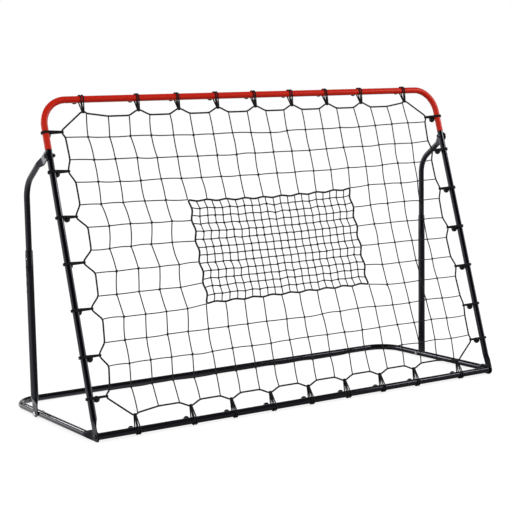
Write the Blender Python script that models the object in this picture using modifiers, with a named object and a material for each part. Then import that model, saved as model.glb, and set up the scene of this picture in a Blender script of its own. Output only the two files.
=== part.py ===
"""Practice goal net: a tilting tube frame whose rope net hangs on elastic ball ties, held by two telescopic struts on a flat tube base. Metres, Z up, net face towards -Y."""

import bmesh
import bpy
import numpy as np
from mathutils import Matrix, Vector

# Frame
FRAME_OUTER_WIDTH = 1.827  # over the two black side tubes
FRAME_HEIGHT = 1.206  # hinge axis to top rail axis, along the frame
LEAN_DEG = 17.5  # frame behind upright, at rest
SIDE_TUBE_R = 0.0111
TOP_TUBE_R = 0.0127
TOP_BEND_R = 0.096
TOP_LEG = 0.1813  # top rail axis down to the joint with the side tube
TOP_PIN_DROP = 0.203  # top rail axis down to the strut's bolt
TOP_SEAM_X = 0.030
INSERT = 0.055  # how far a tube end enters the next tube
INSERT_R = 0.0107  # swaged end of a full-size tube
FIT_GAP = 0.0003  # round a tube end in its socket

# Base
BASE_DEPTH = 0.700  # front rail axis to rear rail axis
RAIL_R = 0.0127
PLATE_OUT = 0.0023  # frame's flat hinge end outside the side tube's axis
RAIL_OUT = 0.0098  # side rail's axis outside its flat front end
FRONT_SEAM_X = 0.020
REAR_SEAM_X = -0.035
SIDE_SEAM_Y = 0.356  # behind the hinge axis
REAR_BEND_R = 0.100

# Pressed flat tube ends
PRESS_THICK = 0.0036
FRAME_PLATE_HALF = 0.0170
RAIL_PLATE_HALF = 0.0192
STRUT_FOOT_HALF = 0.0215
STRUT_TOP_HALF = 0.0178
PRESS_LENGTH = 0.032  # pin to the end of the flat
PRESS_BLEND = 0.034  # flat to round
PLATE_GAP = 0.0004

# Struts
FOOT_Y = 0.460  # foot pin behind the hinge axis
STRUT_OUTER_R = 0.0147
STRUT_BORE_R = 0.0132
STRUT_INNER_R = 0.0114
STRUT_LIP = 0.610  # foot pin to the top of the outer tube
STRUT_PLUG = 0.030  # bore's floor above the pressed end
STRUT_BEND_DEG = 55.0
STRUT_BEND_R = 0.100
STRUT_TOP_REACH = 0.012
STRUT_FOOT_REACH = 0.013
HOLE_COUNT = 5
HOLE_PITCH = 0.0304
FIRST_HOLE = 0.030  # below the lip
HOLE_R = 0.0049
TAIL = 0.024  # inner tube below its button
BUTTON_R = 0.0042
BUTTON_DEPTH = 0.0085

# Bolts
BOLT_R = 0.0040
BOLT_CLEAR = 0.0003
OPEN_PIVOT_PLAY = 0.0029  # extra hole radius at the top bolt
HEAD_R = 0.0080
HEAD_H = 0.0050
WASHER_R = 0.0120
WASHER_H = 0.0015
NUT_R = 0.0075
NUT_H = 0.0065
BOLT_TAIL = 0.003  # shank past its nut
HINGE_BOLT_IN = 0.030  # shank inside the front rail
OVERCUT = 0.010  # how far a cutter runs past the wall it cuts

# Net
STRANDS_ACROSS = 18
ROWS = 12
NET_GAP_SIDE = 0.1722  # outer strand to the side tube's axis
NET_GAP_TOP = 0.1386
NET_GAP_FOOT = 0.1533
STRAND_HALF = 0.0014
BORDER_ROPE_R = 0.0028
ROPE_CLEAR = 0.0003
PEAK_TOP = 0.046  # rope at a tie, in from the top rail axis
DIP_TOP = 0.066  # rope at a strand
PEAK_FOOT = 0.0535
DIP_FOOT = 0.0710
PEAK_SIDE = 0.0640
DIP_SIDE = 0.0950
CORNER_DIP = 0.35  # share of a full dip at the corner strands
CORNER_TIE_X = 0.012  # corner tie beyond the outer strand
CORNER_TIE_Z = 0.0197
PEAK_HALF = 0.006  # straight rope inside each tie

# Target
TARGET_CELLS_ACROSS = 9  # coarse cells that it takes the place of
TARGET_CELLS_UP = 5
FINE_ACROSS = 14
FINE_UP = 8
FINE_STRAND_HALF = 0.0012
TARGET_ROPE_R = 0.0024
TARGET_DRAW_IN = 0.010
SCALLOP = 0.004

# Ties
CORD_R = 0.0021
BALL_R = 0.0120
TIE_CLEAR = 0.0003
CORD_SPREAD_RAIL = 0.0085
CORD_SPREAD_SIDE = 0.0045
CORD_SPREAD_ROPE = 0.0027
TOP_BALL = (0.0, 0.004, 0.0115)  # ball along the rail, in towards the net, and behind the tube's back
FOOT_BALL = (0.0, 0.008, 0.0110)
SIDE_BALL = (-0.006, 0.030, -0.0020)

SIDES = 12  # of a tube
TURNS = (np.arange(SIDES) + 0.5) * 2 * np.pi / SIDES
ROUND = np.stack([np.cos(TURNS), np.sin(TURNS)], axis=1)
HALF_PRESSED = [[1, 0.5], [0.92, 1], [0.35, 1], [-0.35, 1], [-0.92, 1], [-1, 0.5]]
PRESSED = np.array(HALF_PRESSED + [[-across, -up] for across, up in HALF_PRESSED])
X, Y, Z = np.eye(3)

frame_half = FRAME_OUTER_WIDTH / 2 - SIDE_TUBE_R
frame_plate_x = frame_half + PLATE_OUT
rail_plate_x = frame_plate_x - PRESS_THICK - PLATE_GAP
front_rail_half = rail_plate_x - PRESS_THICK / 2 - PLATE_GAP
side_rail_x = rail_plate_x + RAIL_OUT
strut_x = side_rail_x + RAIL_R + PLATE_GAP + PRESS_THICK / 2
top_plate_x = frame_half + SIDE_TUBE_R + PLATE_GAP + PRESS_THICK / 2
joint_z = FRAME_HEIGHT - TOP_LEG
top_pin_z = FRAME_HEIGHT - TOP_PIN_DROP
strand_pitch = 2 * (frame_half - NET_GAP_SIDE) / (STRANDS_ACROSS - 1)
row_pitch = (FRAME_HEIGHT - NET_GAP_TOP - NET_GAP_FOOT) / (ROWS - 1)

# The front plates' back corners and the rear rail's lowest facet touch the floor.
rear_axis_z = RAIL_R * np.cos(np.pi / SIDES)
hinge_z = (RAIL_PLATE_HALF * BASE_DEPTH - PRESS_LENGTH * rear_axis_z) / (BASE_DEPTH - PRESS_LENGTH)
hinge = Vector((0, (RAIL_PLATE_HALF - BASE_DEPTH - RAIL_R) / 2, hinge_z))
base_slope = np.arctan2(hinge_z - rear_axis_z, BASE_DEPTH)


def material(name, colour, roughness, metallic=0.0):
    made = bpy.data.materials.new(name)
    made.use_nodes = True
    shader = made.node_tree.nodes["Principled BSDF"]
    shader.inputs["Base Color"].default_value = (*colour, 1)
    shader.inputs["Roughness"].default_value = roughness
    shader.inputs["Metallic"].default_value = metallic
    return made


def pivot(name, place, lean=0.0):
    """An empty on a joint's axis. Its pieces are modelled upright around it."""
    made = bpy.data.objects.new(name, None)
    made.location = place
    made.rotation_euler.x = -lean
    model.objects.link(made)
    return made


def add(name, mesh, look, parent, collection=None):
    mesh.name = name
    mesh.materials.clear()
    mesh.materials.append(look)
    made = bpy.data.objects.new(name, mesh)
    made.parent = parent
    (collection or model).objects.link(made)
    return made


def helper(made):
    """Keeps a cutter, or a shape that is joined to another, out of the model."""
    model.objects.unlink(made)
    cutters.objects.link(made)
    made.hide_render = True
    made.display_type = "WIRE"
    return made


def boolean(target, other, operation="DIFFERENCE"):
    modifier = target.modifiers.new(other.name, "BOOLEAN")
    modifier.operation = operation
    modifier.solver = "EXACT"
    modifier.object = helper(other)


def prism(name, place, out, radius, length, sides, parent):
    """A straight bar along out, from place, such as a drill or a nut."""
    bm = bmesh.new()
    turn = Vector((0, 0, 1)).rotation_difference(Vector(out)).to_matrix().to_4x4()
    middle = Matrix.Translation(Vector(place) + Vector(out) * length / 2)
    bmesh.ops.create_cone(
        bm, cap_ends=True, segments=sides, radius1=radius, radius2=radius, depth=length, matrix=middle @ turn
    )
    mesh = bpy.data.meshes.new(name)
    bm.to_mesh(mesh)
    bm.free()
    return add(name, mesh, looks["black"], parent)


def drill(target, place, out, radius, length, sides=SIDES):
    name = f"{target.name}_hole_{len(target.modifiers)}"
    boolean(target, prism(name, place, out, radius, length, sides, target.parent))


def turned(name, place, out, profile, look, parent):
    """A round piece on an axis along out, from (height, radius) down its outer side."""
    mesh = bpy.data.meshes.new(name)
    points = [(0, 0, profile[0][0]), *[(radius, 0, height) for height, radius in profile], (0, 0, profile[-1][0])]
    mesh.from_pydata(points, [(i, i + 1) for i in range(len(points) - 1)], [])
    made = add(name, mesh, look, parent)
    made.location = place
    made.rotation_euler = Vector((0, 0, 1)).rotation_difference(Vector(out)).to_euler()
    screw = made.modifiers.new("turn", "SCREW")
    screw.steps = screw.render_steps = SIDES
    screw.use_merge_vertices = True
    screw.merge_threshold = 0.00001
    return made


def swept_curve(name, paths, radius, resolution, look, parent):
    """Closed cords along paths, as one curve object."""
    curve = bpy.data.curves.new(name, "CURVE")
    curve.dimensions = "3D"
    curve.bevel_depth = radius
    curve.bevel_resolution = resolution
    for path in paths:
        spline = curve.splines.new("POLY")
        spline.points.add(len(path) - 1)
        spline.points.foreach_set("co", np.column_stack([path, np.ones(len(path))]).ravel())
        spline.use_cyclic_u = True
    return add(name, curve, look, parent)


def as_mesh(made):
    """The same piece as a mesh, so that it can be joined to another."""
    graph = bpy.context.evaluated_depsgraph_get()
    mesh = bpy.data.meshes.new_from_object(made.evaluated_get(graph))
    name, look, parent = made.name, made.active_material, made.parent
    bpy.data.objects.remove(made)
    return add(name, mesh, look, parent)


def matched(rings):
    """Rings with their points renumbered to run the same way round, so that the walls between them don't twist."""
    kept = [rings[0]]
    guide = rings[0] - rings[0].mean(axis=0)
    for points in rings[1:]:
        loose = points - points.mean(axis=0)
        turned_ways = [np.roll(way, shift, axis=0) for way in (loose, loose[::-1]) for shift in range(len(loose))]
        guide = max(turned_ways, key=lambda way: np.sum(way * guide))
        kept.append(guide + points.mean(axis=0))
    return kept


def loft(name, rings, look, parent):
    """A tube through rings, which may be pressed flat, swaged, or turned back inside as a bore."""
    bm = bmesh.new()
    rows = [[bm.verts.new(point) for point in ring] for ring in matched(rings)]
    for low, high in zip(rows, rows[1:]):
        for k in range(SIDES):
            bm.faces.new([low[k - 1], low[k], high[k], high[k - 1]])
    bm.faces.new(rows[0])
    bm.faces.new(rows[-1])
    bmesh.ops.recalc_face_normals(bm, faces=bm.faces)
    if bm.calc_volume(signed=True) < 0:
        bmesh.ops.reverse_faces(bm, faces=bm.faces)
    mesh = bpy.data.meshes.new(name)
    bm.to_mesh(mesh)
    bm.free()
    return add(name, mesh, look, parent)


def ring(centre, along, side, half_width, half_thick, pressed=0.0):
    """A tube's section: round at pressed 0, a flat with small edges at 1. The flat's normal is side."""
    across = np.cross(side, along)
    outline = ROUND + (PRESSED - ROUND) * pressed
    return centre + half_width * outline[:, :1] * across + half_thick * outline[:, 1:] * side


def round_ring(centre, along, side, radius):
    return ring(centre, along, side, radius, radius)


def pressed_end(pin, along, side, half_width, reach, tube_r, tube_shift):
    """Rings from the rounded tip of a pressed end, past its pin, to the full tube, whose axis lies tube_shift from the flat."""
    thick = PRESS_THICK / 2
    tips = np.radians([76, 50, 25])
    rings = [ring(pin - reach * np.sin(tip) * along, along, side, half_width * np.cos(tip), thick, 1) for tip in tips]
    rings += [ring(pin + step * along, along, side, half_width, thick, 1) for step in (0, PRESS_LENGTH)]
    half = pin + (PRESS_LENGTH + PRESS_BLEND / 2) * along + tube_shift / 2 * side
    rings.append(ring(half, along, side, (half_width + tube_r) / 2, (thick + tube_r) / 2, 0.45))
    full = pin + (PRESS_LENGTH + PRESS_BLEND) * along + tube_shift * side
    return rings + [round_ring(full, along, side, tube_r)]


def bend(start, along, towards, side, bend_r, tube_r, degrees, steps):
    """Rings round an arc that starts at start in direction along and turns to towards, and its last direction."""
    rings = []
    for turn in np.radians(np.linspace(0, degrees, steps + 1)):
        centre = start + bend_r * (np.sin(turn) * along + (1 - np.cos(turn)) * towards)
        heading = np.cos(turn) * along + np.sin(turn) * towards
        rings.append(round_ring(centre, heading, side, tube_r))
    return rings, heading


def spigot(end, along, side, tube_r):
    """The swaged end of a tube, which enters the next one."""
    shoulder = end - PLATE_GAP * along
    return [
        round_ring(shoulder, along, side, tube_r),
        round_ring(shoulder, along, side, INSERT_R),
        round_ring(shoulder + INSERT * along, along, side, INSERT_R),
    ]


def socket(end, along, side, tube_r, bore_r):
    """The open end of a tube, with its bore."""
    floor = end - (INSERT + PLATE_GAP) * along
    return [
        round_ring(end, along, side, tube_r),
        round_ring(end, along, side, bore_r),
        round_ring(floor, along, side, bore_r),
    ]


def halves(end, along, side, tube_r, has_spigot):
    """The two ways that a rail ends at its seam."""
    if has_spigot:
        return spigot(end, along, side, tube_r)
    return socket(end, along, side, tube_r, INSERT_R + FIT_GAP)


def make_base(side, sign):
    """Rails modelled on a level plane through the hinge axis. The pivot's small tilt sets them on the floor."""
    out = sign * X
    bolt_bore = BOLT_R + BOLT_CLEAR
    outer = front_rail_half * out
    rings = [
        round_ring(outer - (HINGE_BOLT_IN + BOLT_TAIL) * out, -out, Z, bolt_bore),
        round_ring(outer, -out, Z, bolt_bore),
        round_ring(outer, -out, Z, RAIL_R),
        *halves(FRONT_SEAM_X * X, -out, Z, RAIL_R, sign < 0),
    ]
    loft(f"front_rail_{side}", rings, looks["black"], base)

    pin = rail_plate_x * out
    seam = side_rail_x * out + SIDE_SEAM_Y * Y
    rings = pressed_end(pin, Y, out, RAIL_PLATE_HALF, RAIL_PLATE_HALF, RAIL_R, RAIL_OUT)
    rings += socket(seam, Y, out, RAIL_R, INSERT_R + FIT_GAP)
    rail = loft(f"side_rail_{side}", rings, looks["black"], base)
    drill(rail, pin - OVERCUT * out, out, bolt_bore, 2 * OVERCUT)

    rings = spigot(seam, -Y, out, RAIL_R)[::-1]
    start = side_rail_x * out + (BASE_DEPTH - REAR_BEND_R) * Y
    corner, heading = bend(start, Y, -out, Z, REAR_BEND_R, RAIL_R, 90, 6)
    rings += corner + halves(REAR_SEAM_X * X + BASE_DEPTH * Y, -out, Z, RAIL_R, sign < 0)
    rear = loft(f"rear_corner_{side}", rings, looks["black"], base)
    foot = side_rail_x * out + FOOT_Y * Y
    drill(rear, foot - (RAIL_R + OVERCUT) * out, out, bolt_bore, 2 * (RAIL_R + OVERCUT))


def make_frame(side, sign):
    out = sign * X
    axis = frame_half * out
    rings = pressed_end(
        frame_plate_x * out, Z, out, FRAME_PLATE_HALF, FRAME_PLATE_HALF, SIDE_TUBE_R, frame_half - frame_plate_x
    )
    rings.append(round_ring(axis + (joint_z + INSERT) * Z, Z, out, SIDE_TUBE_R))
    tube = loft(f"side_tube_{side}", rings, looks["black"], frame)
    drill(tube, (frame_plate_x - OVERCUT) * out, out, BOLT_R + BOLT_CLEAR, 2 * OVERCUT)
    top_hole = axis + top_pin_z * Z - (SIDE_TUBE_R + OVERCUT) * out
    drill(tube, top_hole, out, BOLT_R + BOLT_CLEAR, 2 * (SIDE_TUBE_R + OVERCUT))

    rings = socket(axis + joint_z * Z, -Z, Y, TOP_TUBE_R, SIDE_TUBE_R + FIT_GAP)[::-1]
    start = axis + (FRAME_HEIGHT - TOP_BEND_R) * Z
    corner, heading = bend(start, Z, -out, Y, TOP_BEND_R, TOP_TUBE_R, 90, 6)
    rings += corner + halves(TOP_SEAM_X * X + FRAME_HEIGHT * Z, -out, Y, TOP_TUBE_R, sign < 0)
    loft(f"top_rail_{side}", rings, looks["red"], frame)


def make_strut(side, sign):
    """Both tubes stand upright over the foot bolt. The upper one bends forwards to the frame."""
    out = sign * X
    foot = pivot(f"strut_swing_{side}", base_place(sign * strut_x, FOOT_Y))
    slide = pivot(f"strut_slide_{side}", (0, 0, STRUT_LIP))
    slide.parent = foot
    rings = pressed_end(np.zeros(3), Z, out, STRUT_FOOT_HALF, STRUT_FOOT_REACH, STRUT_OUTER_R, 0)
    lip = STRUT_LIP * Z
    rings += [
        round_ring(lip, Z, out, STRUT_OUTER_R),
        round_ring(lip, Z, out, STRUT_BORE_R),
        round_ring((PRESS_LENGTH + PRESS_BLEND + STRUT_PLUG) * Z, Z, out, STRUT_BORE_R),
    ]
    lower = loft(f"strut_lower_{side}", rings, looks["black"], foot)
    drill(lower, -OVERCUT * out, out, BOLT_R + BOLT_CLEAR, 2 * OVERCUT)
    for k in range(HOLE_COUNT):
        hole = lip - (FIRST_HOLE + k * HOLE_PITCH) * Z
        drill(lower, hole + STRUT_INNER_R * out, out, HOLE_R, OVERCUT, 8)

    button = -FIRST_HOLE * Z
    pin_in_world = frame_place(sign * top_plate_x, top_pin_z)
    pin = np.array(pin_in_world - base_place(sign * strut_x, FOOT_Y) - Vector(lip))
    turn = np.radians(STRUT_BEND_DEG)
    heading = np.cos(turn) * Z - np.sin(turn) * Y
    straight = (-pin[1] - STRUT_BEND_R * (1 - np.cos(turn))) / np.sin(turn)
    start = (pin[2] - straight * np.cos(turn) - STRUT_BEND_R * np.sin(turn)) * Z
    rings = [round_ring(button - TAIL * Z, Z, out, STRUT_INNER_R)]
    arc, heading = bend(start, Z, -Y, out, STRUT_BEND_R, STRUT_INNER_R, STRUT_BEND_DEG, 5)
    top = pressed_end(
        pin, -heading, out, STRUT_TOP_HALF, STRUT_TOP_REACH, STRUT_INNER_R, strut_x - top_plate_x
    )
    upper = loft(f"strut_upper_{side}", rings + arc + top[::-1], looks["black"], slide)
    drill(upper, pin - OVERCUT * out, out, BOLT_R + BOLT_CLEAR + OPEN_PIVOT_PLAY, 2 * OVERCUT)
    well = STRUT_INNER_R - BUTTON_DEPTH - BOLT_CLEAR
    drill(upper, button + well * out, out, BUTTON_R + BOLT_CLEAR, OVERCUT)

    crown = STRUT_BORE_R * np.cos(np.pi / SIDES) - BOLT_CLEAR
    profile = [
        (crown, BUTTON_R * 0.35),
        (crown - BUTTON_R * 0.07, BUTTON_R * 0.75),
        (crown - BUTTON_R * 0.24, BUTTON_R),
        (STRUT_INNER_R - BUTTON_DEPTH, BUTTON_R),
    ]
    turned(f"snap_button_{side}", button, out, profile, looks["zinc"], slide)


def base_place(x, y):
    """World place of a point in the base's plane."""
    return hinge + Matrix.Rotation(-base_slope, 3, "X") @ Vector((x, y, 0))


def frame_place(x, z):
    """World place of a point in the frame's plane."""
    return hinge + Matrix.Rotation(-np.radians(LEAN_DEG), 3, "X") @ Vector((x, 0, z))


def bolt_head(seat):
    """The outer end of a bolt whose head sits at seat, from its crown down."""
    return [
        (seat + HEAD_H, HEAD_R * 0.55),
        (seat + HEAD_H * 0.6, HEAD_R),
        (seat, HEAD_R),
    ]


def through_bolt(name, place, out, seat, nut_seat, washer, look, parent):
    """A bolt from outside, with its nut on the inner side. Seats are distances along out."""
    ground = seat + WASHER_H if washer else seat
    profile = bolt_head(ground)
    if washer:
        profile += [(ground, WASHER_R), (seat, WASHER_R)]
    profile += [(seat, BOLT_R), (nut_seat - NUT_H - BOLT_TAIL, BOLT_R)]
    bolt = turned(name, place, out, profile, look, parent)
    nut = prism(f"{name}_nut", place + nut_seat * out, -out, NUT_R, NUT_H, 6, parent)
    boolean(bolt, nut, "UNION")


def make_bolts(side, sign):
    out = sign * X
    seat = frame_plate_x + PRESS_THICK / 2 + PLATE_GAP
    profile = bolt_head(seat) + [(seat, BOLT_R), (front_rail_half - HINGE_BOLT_IN, BOLT_R)]
    turned(f"hinge_bolt_{side}", np.zeros(3), out, profile, looks["bolt"], base)
    seat = strut_x + PRESS_THICK / 2 + PLATE_GAP
    nut_seat = side_rail_x - RAIL_R - PLATE_GAP
    through_bolt(f"foot_bolt_{side}", FOOT_Y * Y, out, seat, nut_seat, False, looks["zinc"], base)
    seat = top_plate_x + PRESS_THICK / 2 + PLATE_GAP
    nut_seat = frame_half - SIDE_TUBE_R - PLATE_GAP
    through_bolt(f"top_bolt_{side}", top_pin_z * Z, out, seat, nut_seat, True, looks["bolt"], frame)


def strand_x(i):
    """Place of upright strand i, counted from 0 at the left."""
    return (i - (STRANDS_ACROSS - 1) / 2) * strand_pitch


def row_z(j):
    """Height of cross strand j, counted from 0 at the top."""
    return FRAME_HEIGHT - NET_GAP_TOP - j * row_pitch


def tie_places_across():
    """Ties on the top and front rails: one between every second pair of strands, and one at each corner."""
    corner = strand_x(STRANDS_ACROSS - 1) + CORNER_TIE_X
    inner = [strand_x(i) + strand_pitch / 2 for i in range(2, STRANDS_ACROSS - 2, 2)]
    return [-corner] + inner + [corner]


def tie_places_up():
    inner = [row_z(j) - row_pitch / 2 for j in range(1, ROWS - 1, 2)]
    return [row_z(0) + CORNER_TIE_Z] + inner + [row_z(ROWS - 1) - CORNER_TIE_Z]


def edge_run(ties, strands, peak, dip):
    """Places along one edge of the border, as (place, inset), sorted: straight inside a tie, drawn in at a strand."""
    corner_dip = peak + CORNER_DIP * (dip - peak)
    last = (min(strands), max(strands))
    run = [(tie + half, peak) for tie in ties for half in (-PEAK_HALF, PEAK_HALF)]
    run += [(strand, corner_dip if strand in last else dip) for strand in strands]
    return np.array(sorted(run))


def border_runs():
    """The four edges of the border rope, each as an array of (x, z) in the frame's plane."""
    across = [strand_x(i) for i in range(STRANDS_ACROSS)]
    rows = [row_z(j) for j in range(ROWS)]
    top = edge_run(tie_places_across(), across, PEAK_TOP, DIP_TOP)
    foot = edge_run(tie_places_across(), across, PEAK_FOOT, DIP_FOOT)
    side = edge_run(tie_places_up(), rows, PEAK_SIDE, DIP_SIDE)
    return {
        "top": np.stack([top[:, 0], FRAME_HEIGHT - top[:, 1]], axis=1),
        "foot": foot,
        "left": np.stack([side[:, 1] - frame_half, side[:, 0]], axis=1),
        "right": np.stack([frame_half - side[:, 1], side[:, 0]], axis=1),
    }


def target_block():
    """First and last strand and row whose crossings the target takes the place of."""
    first = (STRANDS_ACROSS - 1 - TARGET_CELLS_ACROSS) // 2
    top = (ROWS - 1 - TARGET_CELLS_UP) // 2
    return first, first + TARGET_CELLS_ACROSS, top, top + TARGET_CELLS_UP


def target_runs():
    """The four edges of the target's rope, scalloped between the coarse strands that hold it."""
    first, last, top, foot = target_block()
    half_wide = (strand_x(last) - strand_x(first)) / 2 - TARGET_DRAW_IN
    half_high = (row_z(top) - row_z(foot)) / 2 - TARGET_DRAW_IN
    centre = (row_z(top) + row_z(foot)) / 2

    def scalloped(cells, half):
        places = np.linspace(-half, half, 2 * cells + 1)
        return places, np.where(np.arange(2 * cells + 1) % 2, SCALLOP, 0.0)

    wide, wide_in = scalloped(TARGET_CELLS_ACROSS, half_wide)
    high, high_in = scalloped(TARGET_CELLS_UP, half_high)
    return {
        "top": np.stack([wide, centre + half_high - wide_in], axis=1),
        "foot": np.stack([wide, centre - half_high + wide_in], axis=1),
        "left": np.stack([high_in - half_wide, centre + high], axis=1),
        "right": np.stack([half_wide - high_in, centre + high], axis=1),
    }


def around(runs):
    """One closed path from four edges, clockwise from the top left, each corner once."""
    path = [*runs["top"], *runs["right"][::-1], *runs["foot"][::-1], *runs["left"]]
    kept = [point for point, after in zip(path, path[1:] + path[:1]) if np.linalg.norm(point - after) > 1e-6]
    return np.array([(x, 0, z) for x, z in kept])


def strand_net(name, points, edges, half, look):
    """Diamond-section strands along the edges of a flat graph, fused where they meet, with 4 walls an edge."""
    near = {i: [] for i in range(len(points))}
    for a, b in edges:
        near[a].append(b)
        near[b].append(a)
    bm = bmesh.new()
    ridges = {}
    corners = {}
    for i, ends in near.items():
        x, z = points[i]
        ridges[i] = [bm.verts.new((x, depth, z)) for depth in (-half, half)]
        angle = {j: np.arctan2(points[j][1] - z, points[j][0] - x) for j in ends}
        ends.sort(key=angle.get)
        if len(ends) == 1:
            turns = [(angle[ends[0]] + np.pi / 2, half), (angle[ends[0]] - np.pi / 2, half)]
        else:
            gaps = [(angle[ends[(k + 1) % len(ends)]] - angle[j]) % (2 * np.pi) for k, j in enumerate(ends)]
            turns = [(angle[j] + gap / 2, half / np.sin(gap / 2)) for j, gap in zip(ends, gaps)]
        corners[i] = [bm.verts.new((x + far * np.cos(turn), 0, z + far * np.sin(turn))) for turn, far in turns]
        if len(ends) == 1:
            bm.faces.new([ridges[i][0], corners[i][0], ridges[i][1], corners[i][1]])

    def sides_of(i, j):
        k = near[i].index(j)
        return corners[i][k], corners[i][k - 1]

    for a, b in edges:
        left_a, right_a = sides_of(a, b)
        right_b, left_b = sides_of(b, a)
        for level in (0, 1):
            bm.faces.new([ridges[a][level], left_a, left_b, ridges[b][level]])
            bm.faces.new([ridges[a][level], right_a, right_b, ridges[b][level]])
    bmesh.ops.recalc_face_normals(bm, faces=bm.faces)
    mesh = bpy.data.meshes.new(name)
    bm.to_mesh(mesh)
    bm.free()
    return add(name, mesh, look, frame)


def make_main_net():
    first, last, top, foot = target_block()
    border = border_runs()
    target = target_runs()
    places = {(i, j): (strand_x(i), row_z(j)) for i in range(STRANDS_ACROSS) for j in range(ROWS)}
    places = {key: at for key, at in places.items() if not (first <= key[0] <= last and top <= key[1] <= foot)}
    index = {key: k for k, key in enumerate(places)}
    points = [np.array(at) for at in places.values()]
    edges = []
    for i, j in places:
        edges += [(index[i, j], index[after]) for after in ((i + 1, j), (i, j + 1)) if after in index]

    def stub(key, run, k, rope_r):
        """A strand's end, which stops just short of the rope that holds it."""
        start = points[index[key]]
        reach = run[k] - start
        length = np.linalg.norm(reach)
        edges.append((index[key], len(points)))
        points.append(start + reach * (1 - (rope_r + ROPE_CLEAR) / length))

    def nearest(run, axis, value):
        return int(np.argmin(np.abs(run[:, axis] - value)))

    for i in range(STRANDS_ACROSS):
        stub((i, 0), border["top"], nearest(border["top"], 0, strand_x(i)), BORDER_ROPE_R)
        stub((i, ROWS - 1), border["foot"], nearest(border["foot"], 0, strand_x(i)), BORDER_ROPE_R)
    for j in range(ROWS):
        stub((0, j), border["left"], nearest(border["left"], 1, row_z(j)), BORDER_ROPE_R)
        stub((STRANDS_ACROSS - 1, j), border["right"], nearest(border["right"], 1, row_z(j)), BORDER_ROPE_R)
    for k in range(TARGET_CELLS_ACROSS + 1):
        stub((first + k, top - 1), target["top"], 2 * k, TARGET_ROPE_R)
        stub((first + k, foot + 1), target["foot"], 2 * k, TARGET_ROPE_R)
    for k in range(TARGET_CELLS_UP + 1):
        stub((first - 1, foot - k), target["left"], 2 * k, TARGET_ROPE_R)
        stub((last + 1, foot - k), target["right"], 2 * k, TARGET_ROPE_R)
    strand_net("main_net", points, edges, STRAND_HALF, looks["strand"])


def make_target_net():
    runs = target_runs()
    wide = np.linspace(runs["top"][0, 0], runs["top"][-1, 0], FINE_ACROSS + 1)[1:-1]
    high = np.linspace(runs["left"][0, 1], runs["left"][-1, 1], FINE_UP + 1)[1:-1]
    clear = TARGET_ROPE_R + ROPE_CLEAR
    points = [(x, z) for z in high for x in wide]
    index = np.arange(len(points)).reshape(len(high), len(wide))
    edges = [*zip(index[:, :-1].ravel(), index[:, 1:].ravel()), *zip(index[:-1].ravel(), index[1:].ravel())]
    for k, x in enumerate(wide):
        for run, row, way in ((runs["foot"], 0, 1), (runs["top"], -1, -1)):
            edges.append((index[row, k], len(points)))
            points.append((x, np.interp(x, run[:, 0], run[:, 1]) + way * clear))
    for k, z in enumerate(high):
        for run, column, way in ((runs["left"], 0, 1), (runs["right"], -1, -1)):
            edges.append((index[k, column], len(points)))
            points.append((np.interp(z, run[:, 1], run[:, 0]) + way * clear, z))
    strand_net("target_net", points, edges, FINE_STRAND_HALF, looks["strand"])


def make_tie(name, at, inwards, along, tube_r, rope_in, spread, ball, bends):
    """Two turns of cord round a tube and the border rope, fused with the ball that holds them behind the tube."""
    turns = np.linspace(-np.pi / 2, np.pi / 2, bends)
    wrap = (tube_r + TIE_CLEAR + CORD_R) / np.cos(np.pi / 2 / (bends - 1))
    rope_gap = BORDER_ROPE_R * np.cos(np.pi / 6) + TIE_CLEAR + CORD_R
    loop = [(-wrap * np.cos(turn), wrap * np.sin(turn)) for turn in turns]
    loop += [(rope_in + rope_gap, rope_gap), (rope_in + rope_gap, -rope_gap)]
    paths = []
    for way in (-1, 1):
        path = []
        for reach, back in loop:
            shift = spread + (CORD_SPREAD_ROPE - spread) * np.clip(reach / rope_in, 0, 1)
            path.append(at + reach * inwards + back * Y + way * shift * along)
        paths.append(np.array(path))
    cords = as_mesh(swept_curve(f"{name}_cords", paths, CORD_R, 0, looks["cord"], frame))
    slip, reach, behind = ball
    bm = bmesh.new()
    bmesh.ops.create_uvsphere(bm, u_segments=8, v_segments=4, radius=BALL_R)
    mesh = bpy.data.meshes.new(name)
    bm.to_mesh(mesh)
    bm.free()
    mesh.transform(Matrix.Translation(at + slip * along + reach * inwards + (tube_r + behind) * Y))
    boolean(add(name, mesh, looks["cord"], frame), cords, "UNION")


def make_ties():
    for k, x in enumerate(tie_places_across(), start=1):
        top = (x * X + FRAME_HEIGHT * Z, -Z, X, TOP_TUBE_R, PEAK_TOP)
        make_tie(f"top_tie_{k}", *top, CORD_SPREAD_RAIL, TOP_BALL, 5)
        foot = (x * X, Z, X, RAIL_R, PEAK_FOOT)
        make_tie(f"foot_tie_{k}", *foot, CORD_SPREAD_RAIL, FOOT_BALL, 5)
    for k, z in enumerate(tie_places_up(), start=1):
        tube_r = TOP_TUBE_R if z > joint_z else SIDE_TUBE_R
        for side, sign in (("left", -1), ("right", 1)):
            rest = (sign * frame_half * X + z * Z, -sign * X, Z, tube_r, PEAK_SIDE)
            make_tie(f"{side}_tie_{k}", *rest, CORD_SPREAD_SIDE, SIDE_BALL, 4)


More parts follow.
